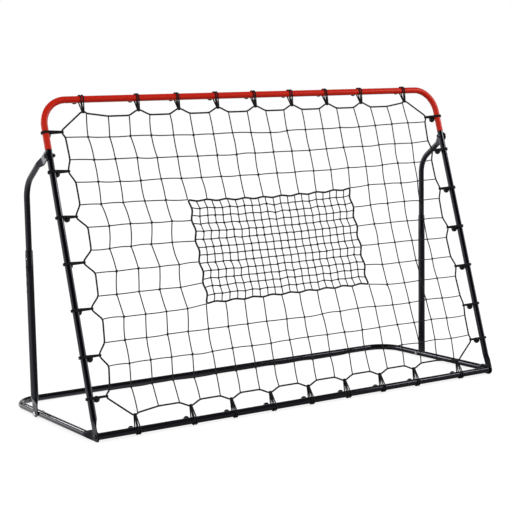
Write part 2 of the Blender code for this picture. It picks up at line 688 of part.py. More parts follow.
for old in list(bpy.data.objects):
    bpy.data.objects.remove(old, do_unlink=True)
model = bpy.data.collections.new("practice goal net")
cutters = bpy.data.collections.new("cutters")
for collection in (model, cutters):
    bpy.context.scene.collection.children.link(collection)
looks = {
    "black": material("black powder coat", (0.012, 0.012, 0.014), 0.42),
    "red": material("red powder coat", (0.55, 0.012, 0.008), 0.38),
    "strand": material("net twine", (0.012, 0.012, 0.013), 0.85),
    "rope": material("border rope", (0.008, 0.008, 0.009), 0.8),
    "cord": material("elastic cord and ball", (0.010, 0.010, 0.011), 0.6),
    "bolt": material("black bolt", (0.02, 0.02, 0.02), 0.4, 0.6),
    "zinc": material("zinc plate", (0.62, 0.63, 0.65), 0.3, 1.0),
}
base = pivot("base", hinge, base_slope)
frame = pivot("frame_tilt", hinge, np.radians(LEAN_DEG))
for side, sign in (("left", -1), ("right", 1)):
    make_base(side, sign)
    make_frame(side, sign)
    make_strut(side, sign)
    make_bolts(side, sign)
swept_curve("border_rope", [around(border_runs())], BORDER_ROPE_R, 1, looks["rope"], frame)
swept_curve("target_rope", [around(target_runs())], TARGET_ROPE_R, 1, looks["rope"], frame)
make_main_net()
make_target_net()
make_ties()
for piece in model.objects:
    if piece.type == "MESH" and not piece.name.endswith("net"):
        piece.data.shade_smooth()
        piece.data.set_sharp_from_angle(angle=np.radians(35))
print("pieces:", len([piece for piece in model.objects if piece.type != "EMPTY"]))
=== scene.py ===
import bmesh
import bpy
import numpy as np
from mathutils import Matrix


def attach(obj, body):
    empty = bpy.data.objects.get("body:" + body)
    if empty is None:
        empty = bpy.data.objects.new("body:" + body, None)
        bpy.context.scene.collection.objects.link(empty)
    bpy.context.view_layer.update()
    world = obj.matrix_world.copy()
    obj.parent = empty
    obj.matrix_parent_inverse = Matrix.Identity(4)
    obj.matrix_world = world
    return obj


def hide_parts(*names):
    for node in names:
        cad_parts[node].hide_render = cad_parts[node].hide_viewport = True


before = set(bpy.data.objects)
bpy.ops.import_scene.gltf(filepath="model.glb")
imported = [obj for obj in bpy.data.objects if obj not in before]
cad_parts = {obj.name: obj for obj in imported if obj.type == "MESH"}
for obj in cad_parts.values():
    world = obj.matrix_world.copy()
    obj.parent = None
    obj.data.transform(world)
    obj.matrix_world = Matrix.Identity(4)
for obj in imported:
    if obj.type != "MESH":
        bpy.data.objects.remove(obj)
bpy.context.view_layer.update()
print("frame loaded with", len(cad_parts), "nodes")

xWay, yWay, zWay = np.eye(3)
sides = {"left": -1, "right": 1}
fullTurn = 2 * np.pi
white = (1, 1, 1, 1)
rng = np.random.default_rng(seed=11)

# The base's plane and the net frame's plane both turn about the hinge, on the front rail's axis
stand = {
    "hinge": np.array([0.0, -0.34675, 0.0195321]),
    "lean": np.radians(17.5),  # of the net frame, backwards
    "slope": 0.0103784,  # of the base, down to its rear rail
    "frameHalf": 0.9024,  # from the middle to the axis of the top rail's legs
    "frameHeight": 1.206,  # from the hinge to the top rail's axis, along the lean
    "railR": 0.01226,
    "topR": 0.01252,
    "sideR": 0.0119,
    "sideX": 0.9016,  # the side tubes' axis
}


def turnedBack(angle):
    # the turn about the hinge's line that leans an upright backwards
    c, s = np.cos(angle), np.sin(angle)
    return np.array([[1, 0, 0], [0, c, s], [0, -s, c]])


def inFrame(points):
    # from the net frame's own places, x across and z up along it, to the scene's
    return points @ turnedBack(stand["lean"]).T + stand["hinge"]


def inBase(points):
    # from the base's own places, x across and y back along it, to the scene's
    return points @ turnedBack(stand["slope"]).T + stand["hinge"]


def asBuilt(points):
    # the points are in the scene's places already
    return points


def unit(v):
    # each vector divided by its own length
    return v / np.linalg.norm(v, axis=-1, keepdims=True)


def smoothStep(t):
    # three t squared less two t cubed, which starts and ends level
    return t * t * (3 - 2 * t)


# Shader groups, each built once and placed in every finish that needs it
def newGroup(name, vector, levels, outputs):
    # one vector input, an input for each level with its usual value, and the outputs
    group = bpy.data.node_groups.new(name, "ShaderNodeTree")
    group.interface.new_socket(name=vector, in_out="INPUT", socket_type="NodeSocketVector")
    for label, level in levels.items():
        socket = group.interface.new_socket(name=label, in_out="INPUT", socket_type="NodeSocketFloat")
        socket.default_value = level
    for label in outputs:
        group.interface.new_socket(name=label, in_out="OUTPUT", socket_type="NodeSocketFloat")
    return group, group.nodes.new("NodeGroupInput"), group.nodes.new("NodeGroupOutput")


def wire(tree, source, socket):
    # a plain number is set on the socket, and an output is linked to it
    if isinstance(source, (int, float)):
        socket.default_value = source
    else:
        tree.links.new(source, socket)


def mathNode(tree, operation, first, second=None, clamp=False):
    node = tree.nodes.new("ShaderNodeMath")
    node.operation = operation
    node.use_clamp = clamp
    wire(tree, first, node.inputs[0])
    if second is not None:
        wire(tree, second, node.inputs[1])
    return node.outputs[0]


def noiseNode(tree, vector, scale, detail=3.0, roughness=0.5):
    node = tree.nodes.new("ShaderNodeTexNoise")
    for label, value in (("Vector", vector), ("Scale", scale), ("Detail", detail), ("Roughness", roughness)):
        wire(tree, value, node.inputs[label])
    return node.outputs["Fac"]


def mixColours(tree, factor, first, second):
    # from the first colour at 0 to the second at 1. Inputs 6 and 7 and output 2 are the colour sockets.
    node = tree.nodes.new("ShaderNodeMix")
    node.data_type = "RGBA"
    wire(tree, factor, node.inputs["Factor"])
    node.inputs[6].default_value = (*first, 1)
    node.inputs[7].default_value = (*second, 1)
    return node.outputs[2]


def mixLevels(tree, factor, first, second):
    # from the first level at 0 to the second at 1
    node = tree.nodes.new("ShaderNodeMix")
    for label, value in (("Factor", factor), ("A", first), ("B", second)):
        wire(tree, value, node.inputs[label])
    return node.outputs["Result"]


def rangeNode(tree, value, low, high, start=0.0, end=1.0):
    # low where value is start, high where it is end, and straight between them
    node = tree.nodes.new("ShaderNodeMapRange")
    wire(tree, value, node.inputs["Value"])
    for label, level in (("From Min", start), ("From Max", end), ("To Min", low), ("To Max", high)):
        node.inputs[label].default_value = level
    return node.outputs["Result"]


def coordinates(tree, output):
    return tree.nodes.new("ShaderNodeTexCoord").outputs[output]


peel = {"glossScale": 23.0, "speckScale": 260.0, "speckFloor": 0.6, "speckGain": 4.0}


def buildOrangePeel():
    # baked powder: fine dimples, a slow change of gloss, and specks of dust where a third noise is high
    levels = {"Dimples": 900.0, "Depth": 0.4}
    group, start, end = newGroup("orangePeel", "Vector", levels, ["Height", "Gloss", "Dust"])
    place = start.outputs["Vector"]
    dimples = noiseNode(group, place, start.outputs["Dimples"], detail=2.0)
    wire(group, mathNode(group, "MULTIPLY", dimples, start.outputs["Depth"]), end.inputs["Height"])
    gloss = noiseNode(group, place, peel["glossScale"], detail=4.0, roughness=0.6)
    wire(group, gloss, end.inputs["Gloss"])
    specks = noiseNode(group, place, peel["speckScale"], detail=5.0, roughness=0.7)
    above = mathNode(group, "SUBTRACT", specks, peel["speckFloor"], clamp=True)
    wire(group, mathNode(group, "MULTIPLY", above, peel["speckGain"], clamp=True), end.inputs["Dust"])
    return group


def mapCounts(group, start, around, along):
    # the map's turns times the strands around, and its metres times the turns in a metre
    split = group.nodes.new("ShaderNodeSeparateXYZ")
    wire(group, start.outputs["Map"], split.inputs[0])
    across = mathNode(group, "MULTIPLY", split.outputs["X"], start.outputs[around])
    run = mathNode(group, "MULTIPLY", split.outputs["Y"], start.outputs[along])
    return across, run


def strandWave(group, curve, sign, across, run):
    # from 0 to 1 over each strand that slants one way: half of one plus the curve of the count in full turns
    phase = mathNode(group, "MULTIPLY", mathNode(group, sign, across, run), fullTurn)
    return mathNode(group, "MULTIPLY", mathNode(group, "ADD", mathNode(group, curve, phase), 1.0), 0.5)


braidFibres = {"scale": 900.0, "detail": 3.0, "roughness": 0.7}
twistFibres = {"scale": 700.0, "detail": 4.0, "roughness": 0.75}
fibreLift = {"braid": 0.35, "twist": 0.4}


def buildBraid():
    # two sets of strands that cross on the cord: the higher of the waves along both slanting directions
    group, start, end = newGroup("braid", "Map", {"Around": 8.0, "Along": 400.0}, ["Height", "Shade"])
    across, run = mapCounts(group, start, "Around", "Along")
    waves = [strandWave(group, "SINE", sign, across, run) for sign in ("ADD", "SUBTRACT")]
    over = mathNode(group, "MAXIMUM", *waves)
    wire(group, over, end.inputs["Height"])
    # Shade is the strand wave times the fibres, so the gaps between strands come out dark: painted shade
    fibres = noiseNode(group, start.outputs["Map"], **braidFibres)
    lifted = mathNode(group, "ADD", fibres, fibreLift["braid"])
    wire(group, mathNode(group, "MULTIPLY", over, lifted), end.inputs["Shade"])
    return group


def buildTwist():
    # plies laid round each other: one wave along a single slanting direction, with fibres over it
    group, start, end = newGroup("twist", "Map", {"Plies": 3.0, "Turns": 120.0}, ["Height", "Shade"])
    across, run = mapCounts(group, start, "Plies", "Turns")
    ply = strandWave(group, "COSINE", "SUBTRACT", across, run)
    wire(group, ply, end.inputs["Height"])
    # Shade is the ply wave times the fibres, so the grooves between plies come out dark: painted shade
    fibres = noiseNode(group, start.outputs["Map"], **twistFibres)
    lifted = mathNode(group, "ADD", ply, fibreLift["twist"])
    wire(group, mathNode(group, "MULTIPLY", lifted, fibres), end.inputs["Shade"])
    return group


def placeGroup(tree, group, vector, **values):
    node = tree.nodes.new("ShaderNodeGroup")
    node.node_tree = group
    wire(tree, vector, node.inputs[0])
    for label, value in values.items():
        node.inputs[label].default_value = value
    return node


def newFinish(name, settings):
    finish = bpy.data.materials.new(name)
    finish.use_nodes = True
    tree = finish.node_tree
    shader = tree.nodes["Principled BSDF"]
    for label, value in settings.items():
        shader.inputs[label].default_value = value
    return finish, tree, shader


def addBump(tree, shader, height, strength, distance):
    bump = tree.nodes.new("ShaderNodeBump")
    for label, value in (("Strength", strength), ("Distance", distance), ("Height", height)):
        wire(tree, value, bump.inputs[label])
    wire(tree, bump.outputs["Normal"], shader.inputs["Normal"])


orangePeel, braid, twist = buildOrangePeel(), buildBraid(), buildTwist()

blackCoat = {
    "deep": (0.0016, 0.0016, 0.0026), "dusty": (0.006, 0.006, 0.009), "gloss": (0.08, 0.13),
    "specular": 0.5, "tint": (0.84, 0.86, 1.0, 1), "dimples": 850.0, "bump": 0.04,
}
redCoat = {
    "deep": (0.54, 0.009, 0.0005), "dusty": (0.57, 0.018, 0.003), "gloss": (0.24, 0.32),
    "specular": 0.30, "tint": (1, 0.88, 0.74, 1), "dimples": 850.0, "bump": 0.04,
}
boltCoat = {
    "deep": (0.010, 0.010, 0.011), "dusty": (0.030, 0.030, 0.032), "gloss": (0.26, 0.46),
    "specular": 0.5, "tint": white, "dimples": 1400.0, "bump": 0.2,
}
ballCoat = {
    "deep": (0.006, 0.006, 0.007), "dusty": (0.014, 0.014, 0.015), "gloss": (0.30, 0.44),
    "specular": 0.4, "tint": white, "dimples": 500.0, "bump": 0.12,
}


def coatFinish(name, look):
    settings = {"Specular IOR Level": look["specular"], "Specular Tint": look["tint"], "IOR": 1.5}
    finish, tree, shader = newFinish(name, settings)
    skin = placeGroup(tree, orangePeel, coordinates(tree, "Object"), Dimples=look["dimples"], Depth=0.5)
    colour = mixColours(tree, skin.outputs["Dust"], look["deep"], look["dusty"])
    wire(tree, colour, shader.inputs["Base Color"])
    wire(tree, rangeNode(tree, skin.outputs["Gloss"], *look["gloss"]), shader.inputs["Roughness"])
    addBump(tree, shader, skin.outputs["Height"], strength=look["bump"], distance=0.0004)
    return finish


zincPlate = {
    "bright": (0.82, 0.83, 0.85), "dull": (0.62, 0.63, 0.65), "gloss": (0.28, 0.42),
    "cloudScale": 310.0, "grainScale": 900.0, "bump": 0.08,
}


def zincFinish():
    finish, tree, shader = newFinish("zincPlate", {"Metallic": 1.0})
    place = coordinates(tree, "Object")
    cloud = noiseNode(tree, place, zincPlate["cloudScale"], detail=4.0, roughness=0.6)
    grain = noiseNode(tree, place, zincPlate["grainScale"])
    wire(tree, mixColours(tree, cloud, zincPlate["dull"], zincPlate["bright"]), shader.inputs["Base Color"])
    wire(tree, rangeNode(tree, grain, *zincPlate["gloss"]), shader.inputs["Roughness"])
    addBump(tree, shader, cloud, strength=zincPlate["bump"], distance=0.0003)
    return finish


# Each cord's colour runs from its deep tone in the gaps between strands to a lighter tone on their crowns:
# painted shade in the gaps, with fibre noise over it
twineLook = {
    "deep": (0.004, 0.004, 0.0045), "crownTone": (0.020, 0.020, 0.021), "specular": 0.25, "sheen": 0.05,
    "gloss": (0.92, 0.62), "map": {"Plies": 2.0, "Turns": 260.0}, "bump": 0.5, "depth": 0.0003,
}
ropeLook = {
    "deep": (0.003, 0.003, 0.0035), "crownTone": (0.018, 0.018, 0.019), "specular": 0.25, "sheen": 0.05,
    "gloss": (0.92, 0.62), "map": {"Around": 4.0, "Along": 150.0}, "bump": 0.6, "depth": 0.0005,
}
elasticLook = {
    "deep": (0.003, 0.003, 0.0035), "crownTone": (0.014, 0.014, 0.016), "specular": 0.2, "sheen": 0.02,
    "gloss": (0.92, 0.62), "map": {"Around": 6.0, "Along": 330.0}, "bump": 0.5, "depth": 0.0003,
}


def cordFinish(name, group, look):
    settings = {"Specular IOR Level": look["specular"], "Sheen Weight": look["sheen"]}
    finish, tree, shader = newFinish(name, settings)
    cord = placeGroup(tree, group, coordinates(tree, "UV"), **look["map"])
    shade = cord.outputs["Shade"]
    # the base colour follows Shade: painted shade, dark in the gaps between strands and lighter on their
    # crowns
    wire(tree, mixColours(tree, shade, look["deep"], look["crownTone"]), shader.inputs["Base Color"])
    wire(tree, rangeNode(tree, shade, *look["gloss"]), shader.inputs["Roughness"])
    addBump(tree, shader, cord.outputs["Height"], look["bump"], look["depth"])
    return finish


finishes = {
    "black": coatFinish("blackPowderCoat", blackCoat),
    "red": coatFinish("redPowderCoat", redCoat),
    "bolt": coatFinish("blackenedSteel", boltCoat),
    "ball": coatFinish("mouldedBall", ballCoat),
    "zinc": zincFinish(),
    "twine": cordFinish("twistedTwine", twist, twineLook),
    "rope": cordFinish("braidedRope", braid, ropeLook),
    "elastic": cordFinish("wovenElastic", braid, elasticLook),
}
print("finishes made:", ", ".join(finishes))

# Surfaces: grids of points, joined into one mesh with a map of turns around and metres along
mergeWithin = 0.000001
sharpFrom = {"metal": 40, "cord": 80}  # faces that meet at more degrees than this keep their edge


def cornerTurns(count):
    # even turns round a ring, the first one half a side in
    return (np.arange(count) + 0.5) * fullTurn / count


def circle(count, radius=1.0):
    # (cosine, sine) of each corner's turn, times the radius
    turn = cornerTurns(count)
    return np.stack([np.cos(turn), np.sin(turn)], -1) * radius


def lengthsAlong(path):
    # the sum of the steps so far, at each point of the path
    return np.concatenate([[0], np.cumsum(np.linalg.norm(np.diff(path, axis=0), axis=1))])


class Surface:
    # collects grids and gives them to Blender as one mesh
    def __init__(self):
        self.points, self.quads, self.maps, self.looks = [], [], [], []
        self.count = 0

    def grid(self, points, along=None, look=0, loop=False):
        # points[i, j] is corner j of ring i. Ends are closed on a middle point, unless the path is a loop.
        rings, corners = points.shape[:2]
        if along is None:
            along = lengthsAlong(points.mean(axis=1))
        if not loop:
            ends = np.repeat(points[[0, -1]].mean(axis=1)[:, None], corners, 1)
            points = np.concatenate([ends[:1], points, ends[1:]])
            along = np.concatenate([along[:1], along, along[-1:]])
            rings += 2
        low = np.arange(rings if loop else rings - 1)[:, None]
        high = (low + 1) % rings
        j = np.arange(corners)
        k = (j + 1) % corners
        quads = np.stack([low * corners + j, low * corners + k, high * corners + k, high * corners + j], -1)
        lowAlong, highAlong = along[:-1], along[1:]
        if loop:
            lowAlong, highAlong = along, np.append(highAlong, along[-1] + (along[-1] - along[-2]))
        u = np.broadcast_to(np.stack([j, j + 1, j + 1, j], -1) / corners, quads.shape)
        v = np.broadcast_to(np.stack([lowAlong, lowAlong, highAlong, highAlong], -1)[:, None], quads.shape)
        self.points.append(points.reshape(-1, 3))
        self.quads.append(quads.reshape(-1, 4) + self.count)
        self.maps.append(np.stack([u, v], -1).reshape(-1, 2))
        self.looks.append(np.full(len(low) * corners, look))
        self.count += rings * corners
        return self

    def piece(self, name, place, looks, body, nodes, slotName, sharp=sharpFrom["metal"]):
        # one object of all the grids so far, in its place, with its body and its CAD nodes
        points = place(np.concatenate(self.points))
        quads, maps = np.concatenate(self.quads), np.concatenate(self.maps)
        mesh = bpy.data.meshes.new(name)
        mesh.vertices.add(len(points))
        mesh.vertices.foreach_set("co", points.astype(np.float32).ravel())
        mesh.loops.add(quads.size)
        mesh.loops.foreach_set("vertex_index", quads.ravel().astype(np.int32))
        mesh.polygons.add(len(quads))
        mesh.polygons.foreach_set("loop_start", np.arange(0, quads.size, 4, dtype=np.int32))
        mesh.polygons.foreach_set("material_index", np.concatenate(self.looks).astype(np.int32))
        mesh.uv_layers.new(name="UVMap").data.foreach_set("uv", maps.astype(np.float32).ravel())
        mesh.update(calc_edges=True)
        closeAndTidy(mesh, sharp)
        for look in looks:
            mesh.materials.append(finishes[look])
        made = bpy.data.objects.new(name, mesh)
        bpy.context.scene.collection.objects.link(made)
        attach(made, body)
        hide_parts(*nodes)
        return made


def closeAndTidy(mesh, sharp):
    # the ends' middle points are merged into one, and faces turned outwards
    bm = bmesh.new()
    bm.from_mesh(mesh)
    bmesh.ops.remove_doubles(bm, verts=bm.verts, dist=mergeWithin)
    bmesh.ops.recalc_face_normals(bm, faces=bm.faces)
    bm.to_mesh(mesh)
    bm.free()
    mesh.shade_smooth()
    mesh.set_sharp_from_angle(angle=np.radians(sharp))


def carried(path, side, profile, closed=False):
    # profile[i, j] is (across, out): each point is the path plus across times (side x heading) plus out times
    # the part of side that is square to the heading
    heading = unit(np.roll(path, -1, 0) - np.roll(path, 1, 0) if closed else np.gradient(path, axis=0))
    across = unit(np.cross(side, heading))
    out = np.cross(heading, across)
    return path[:, None] + profile[..., :1] * across[:, None] + profile[..., 1:] * out[:, None]


def spaced(path, step):
    # the same polyline, with points at even distances of about a step
    run = lengthsAlong(path)
    places = np.linspace(0, run[-1], max(2, int(np.ceil(run[-1] / step)) + 1))
    return np.stack([np.interp(places, run, path[:, k]) for k in range(3)], -1)


legShare = 0.48  # the most of a leg that one rounded corner may take


def roundedLoop(path, reach, steps, step):
    # a closed polyline whose corners are parabolas, each from reach before its corner to reach after it
    legIn, legOut = np.roll(path, 1, 0) - path, np.roll(path, -1, 0) - path
    inReach = np.minimum(reach, legShare * np.linalg.norm(legIn, axis=1))[:, None]
    outReach = np.minimum(reach, legShare * np.linalg.norm(legOut, axis=1))[:, None]
    first = (path + unit(legIn) * inReach)[:, None]
    last = (path + unit(legOut) * outReach)[:, None]
    t = np.linspace(0, 1, steps)[None, :, None]
    arcs = (1 - t) ** 2 * first + 2 * t * (1 - t) * path[:, None] + t**2 * last
    loop = arcs.reshape(-1, 3)
    return spaced(np.concatenate([loop, loop[:1]]), step)[:-1]


def domeProfile(rim, rise, radius, crown, steps=8):
    # (rim plus rise times cosine, radius times sine), from crown degrees off the middle down to the rim
    turn = np.radians(np.linspace(crown, 90, steps))
    return np.stack([rim + rise * np.cos(turn), radius * np.sin(turn)], -1)


def latheGrid(at, way, profile, count, shape=None):
    # (height, radius) turned about way. shape(turn, height, radius) may change the radius round the turn.
    height, radius = np.array(profile).T
    turn = np.arange(count) * fullTurn / count
    first = unit(np.cross(way, zWay if way[2] == 0 else xWay))
    second = np.cross(way, first)
    spread = np.repeat(radius[:, None], count, 1)
    if shape is not None:
        spread = shape(turn[None], height[:, None], spread)
    ring = np.cos(turn)[:, None] * first + np.sin(turn)[:, None] * second
    return at + height[:, None, None] * way + spread[..., None] * ring[None]


def sixSided(turn, flat):
    # distance to a hexagon's edge: flat, over the cosine of the angle from the nearest flat's middle
    return flat / np.cos((turn + fullTurn / 12) % (fullTurn / 6) - fullTurn / 12)


# Tubes: a station is a centre, a heading, half width, half thickness and how far the tube is pressed flat
centreOf, headingOf = slice(0, 3), slice(3, 6)
wideOf, thickOf, pressedOf = 6, 7, 8
tubes = {
    "sides": 56,
    "spacing": 0.1,
    "plateHalf": 0.0018,  # half the thickness of a pressed end
    "flat": 0.032,  # from the pin to where the swell starts
    "blend": 0.034,  # from there to the full tube
    "squareness": 0.74,  # of a pressed end: 0 is an ellipse and 1 a rectangle
    "tipTurn": 86,
    "tipSteps": 9,
    "blendSteps": 15,
    "bendSteps": 28,
    "edge": 0.0005,  # taken off each open end
    "gap": 0.0004,  # between two pieces that meet
    "spare": 0.001,
    "insert": 0.055,  # how far one tube enters the next
    "insertR": 0.0105,
    "boreR": 0.0109,
    "holeR": 0.0043,
    "holeSides": 24,
    "drillFlat": 0.008,
    "drillThrough": 0.030,
}


def stations(centres, heading, wide, thick=None, pressed=0.0):
    # one row for each centre. Thickness is the width where none is given.
    centres = np.atleast_2d(centres)
    n = len(centres)
    thick = wide if thick is None else thick
    columns = [np.broadcast_to(value, (n,)) for value in (wide, thick, pressed)]
    return np.column_stack([centres, np.broadcast_to(heading, (n, 3)), *columns])


def turnedRound(rows):
    # the same run from its other end
    rows = rows[::-1].copy()
    rows[:, headingOf] *= -1
    return rows


def tubeGrid(rows, side):
    # each ring is (width times cosine, thickness times sine), both to a power that is 1 on the round tube and
    # falls towards 0 where it is pressed into a flat bar
    turn = cornerTurns(tubes["sides"])
    c, s = np.cos(turn), np.sin(turn)
    power = 1 - tubes["squareness"] * rows[:, pressedOf, None]
    across = np.sign(c) * np.abs(c) ** power * rows[:, wideOf, None]
    out = np.sign(s) * np.abs(s) ** power * rows[:, thickOf, None]
    acrossWay = unit(np.cross(side, rows[:, headingOf]))
    outWay = np.cross(rows[:, headingOf], acrossWay)
    return rows[:, None, centreOf] + across[..., None] * acrossWay[:, None] + out[..., None] * outWay[:, None]


def coatedTube(rows, side, name, place, body, node, colour="black"):
    # the tube over the given stations, in its coat
    return Surface().grid(tubeGrid(rows, side)).piece(name, place, [colour], body, [node], f"{colour}_coat")


def pressedEnd(pin, heading, side, half, reach, radius, shift):
    # from the rounded tip past the pin along the flat, then a smooth swell to the full tube, whose axis lies
    # shift to the side of the flat
    tip = np.radians(np.linspace(tubes["tipTurn"], 0, tubes["tipSteps"]))[:, None]
    plate = tubes["plateHalf"]
    start = stations(pin - reach * np.sin(tip) * heading, heading, half * np.cos(tip[:, 0]), plate, 1.0)
    flat = stations(pin + tubes["flat"] * heading, heading, half, plate, 1.0)
    t = np.linspace(0, 1, tubes["blendSteps"])[1:]
    e = smoothStep(t)
    centres = pin + (tubes["flat"] + tubes["blend"] * t)[:, None] * heading + (shift * e)[:, None] * side
    swell = stations(centres, heading, half + (radius - half) * e, plate + (radius - plate) * e, 1 - e)
    return np.concatenate([start, flat, swell])


def straight(start, end, heading, radius):
    # even stations from start to end, about one spacing apart
    count = max(2, int(np.linalg.norm(end - start) / tubes["spacing"]) + 1)
    t = np.linspace(0, 1, count)[:, None]
    return stations(start + t * (end - start), heading, radius)


def arc(start, heading, towards, bendR, radius, degrees, steps=tubes["bendSteps"]):
    # the start, plus the bend's radius times (sine along the heading and one less cosine towards its middle)
    turn = np.radians(np.linspace(0, degrees, steps + 1))[:, None]
    centres = start + bendR * (np.sin(turn) * heading + (1 - np.cos(turn)) * towards)
    return stations(centres, np.cos(turn) * heading + np.sin(turn) * towards, radius)


def spigotEnd(end, heading, radius):
    # the full tube's rounded shoulder, then the narrower end that enters the next tube
    shoulder = end - tubes["gap"] * heading
    edge, slim = tubes["edge"], tubes["insertR"]
    return np.concatenate([
        stations(shoulder - edge * heading, heading, radius),
        stations(shoulder, heading, radius - edge),
        stations(shoulder, heading, slim),
        stations(shoulder + (tubes["insert"] - edge) * heading, heading, slim),
        stations(shoulder + tubes["insert"] * heading, heading, slim - edge),
    ])


def socketEnd(end, heading, radius, bore=tubes["boreR"]):
    # the open end's rolled lip, then the bore turned back inside
    edge = tubes["edge"]
    floor = end - (tubes["insert"] + tubes["gap"] + tubes["spare"]) * heading
    return np.concatenate([
        stations(end - edge * heading, heading, radius),
        stations(end, heading, radius - edge),
        stations(end, heading, bore),
        stations(floor, heading, bore),
    ])


def halfEnd(sign, end, heading, radius):
    # where two halves of a rail meet, the left one enters the right one
    if sign < 0:
        return spigotEnd(end, heading, radius)
    return socketEnd(end, heading, radius)


def drilled(piece, place, at, way, radius, reach):
    # a round cutter along way, from reach before the place to reach after it, taken out of the piece at once
    cutter = Surface()
    path = np.array([at - way * reach, at + way * reach])
    cutter.grid(carried(path, yWay, circle(tubes["holeSides"], radius)[None]))
    mesh = bpy.data.meshes.new("cutter")
    mesh.from_pydata(place(cutter.points[0]).tolist(), [], cutter.quads[0].tolist())
    closeAndTidy(mesh, sharpFrom["metal"])
    tool = bpy.data.objects.new("cutter", mesh)
    bpy.context.scene.collection.objects.link(tool)
    modifier = piece.modifiers.new("hole", "BOOLEAN")
    modifier.operation = "DIFFERENCE"
    modifier.solver = "EXACT"
    modifier.object = tool
    graph = bpy.context.evaluated_depsgraph_get()
    cut = bpy.data.meshes.new_from_object(piece.evaluated_get(graph))
    piece.modifiers.clear()
    old, piece.data = piece.data, cut
    bpy.data.meshes.remove(old)
    bpy.data.objects.remove(tool)
    piece.data.name = piece.name
    piece.data.shade_smooth()
    piece.data.set_sharp_from_angle(angle=np.radians(sharpFrom["metal"]))


base = {
    "depth": 0.700,
    "frontHalf": 0.8985,  # from the middle to the front rail's outer ends
    "frontSeam": 0.020,
    "boltBore": 0.034,  # how deep the hinge bolt's bore is
    "sideRailX": 0.9105,
    "sideSeam": 0.356,
    "railPlateX": 0.9007,  # the middle of the pressed front end
    "railPlateHalf": 0.0190,
    "railReach": 0.0186,
    "rearSeam": -0.035,
    "rearBendR": 0.100,
    "footY": 0.460,  # where the strut stands on the side rail
}


def makeFrontRail(side, sign):
    # from the bore for the hinge bolt, over the rounded outer end, to the joint in the middle
    out, radius = sign * xWay, stand["railR"]
    outer = base["frontHalf"] * out
    rows = np.concatenate([
        stations(outer - base["boltBore"] * out, -out, tubes["holeR"]),
        stations(outer, -out, tubes["holeR"]),
        stations(outer, -out, radius - tubes["edge"]),
        stations(outer - tubes["edge"] * out, -out, radius),
        halfEnd(sign, base["frontSeam"] * xWay, -out, radius),
    ])
    coatedTube(rows, zWay, f"frontRail.{side}", inBase, "base", f"front_rail_{side}")


def makeSideRail(side, sign):
    # the pressed front end with its hinge hole, then the tube back to its socket
    out, radius = sign * xWay, stand["railR"]
    pin = base["railPlateX"] * out
    seam = base["sideRailX"] * out + base["sideSeam"] * yWay
    shift = base["sideRailX"] - base["railPlateX"]
    rows = np.concatenate([
        pressedEnd(pin, yWay, out, base["railPlateHalf"], base["railReach"], radius, shift),
        socketEnd(seam, yWay, radius),
    ])
    rail = coatedTube(rows, out, f"sideRail.{side}", inBase, "base", f"side_rail_{side}")
    drilled(rail, inBase, pin, out, tubes["holeR"], tubes["drillFlat"])


def makeRearCorner(side, sign):
    # the side rail's back part, its bend, and half of the rear rail
    out, radius, bendR = sign * xWay, stand["railR"], base["rearBendR"]
    axis = base["sideRailX"] * out
    rows = np.concatenate([
        turnedRound(spigotEnd(axis + base["sideSeam"] * yWay, -yWay, radius)),
        arc(axis + (base["depth"] - bendR) * yWay, yWay, -out, bendR, radius, degrees=90),
        halfEnd(sign, base["rearSeam"] * xWay + base["depth"] * yWay, -out, radius),
    ])
    corner = coatedTube(rows, zWay, f"rearCorner.{side}", inBase, "base", f"rear_corner_{side}")
    drilled(corner, inBase, axis + base["footY"] * yWay, out, tubes["holeR"], tubes["drillThrough"])


upright = {
    "plateX": 0.9047,  # the middle of the pressed foot
    "plateHalf": 0.0170,
    "jointZ": 1.0247,  # where the side tube enters the top rail's leg
    "topPinZ": 1.003,  # the top bolt
    "topBendR": 0.096,
    "topSeam": 0.030,
    "socketBore": 0.0112,
}


def makeSideTube(side, sign):
    # the pressed foot on the hinge, then the tube up to the swaged end in the top rail's leg
    out, radius = sign * xWay, stand["sideR"]
    pin = upright["plateX"] * out
    axis = stand["sideX"] * out
    half, shift = upright["plateHalf"], stand["sideX"] - upright["plateX"]
    foot = pressedEnd(pin, zWay, out, half, half, radius, shift)
    top = axis + upright["jointZ"] * zWay
    rows = np.concatenate([
        foot,
        straight(foot[-1, centreOf], top - tubes["spare"] * zWay, zWay, radius)[1:],
        spigotEnd(top, zWay, radius),
    ])
    tube = coatedTube(rows, out, f"sideTube.{side}", inFrame, "frame", f"side_tube_{side}")
    drilled(tube, inFrame, pin, out, tubes["holeR"], tubes["drillFlat"])
    drilled(tube, inFrame, axis + upright["topPinZ"] * zWay, out, tubes["holeR"], tubes["drillThrough"])


def makeTopRail(side, sign):
    # the short leg over the side tube, its bend, and half of the rail
    out, radius, bendR = sign * xWay, stand["topR"], upright["topBendR"]
    axis = stand["frameHalf"] * out
    rows = np.concatenate([
        turnedRound(socketEnd(axis + upright["jointZ"] * zWay, -zWay, radius, upright["socketBore"])),
        arc(axis + (stand["frameHeight"] - bendR) * zWay, zWay, -out, bendR, radius, degrees=90),
        halfEnd(sign, upright["topSeam"] * xWay + stand["frameHeight"] * zWay, -out, radius),
    ])
    coatedTube(rows, yWay, f"topRail.{side}", inFrame, "frame", f"top_rail_{side}", "red")


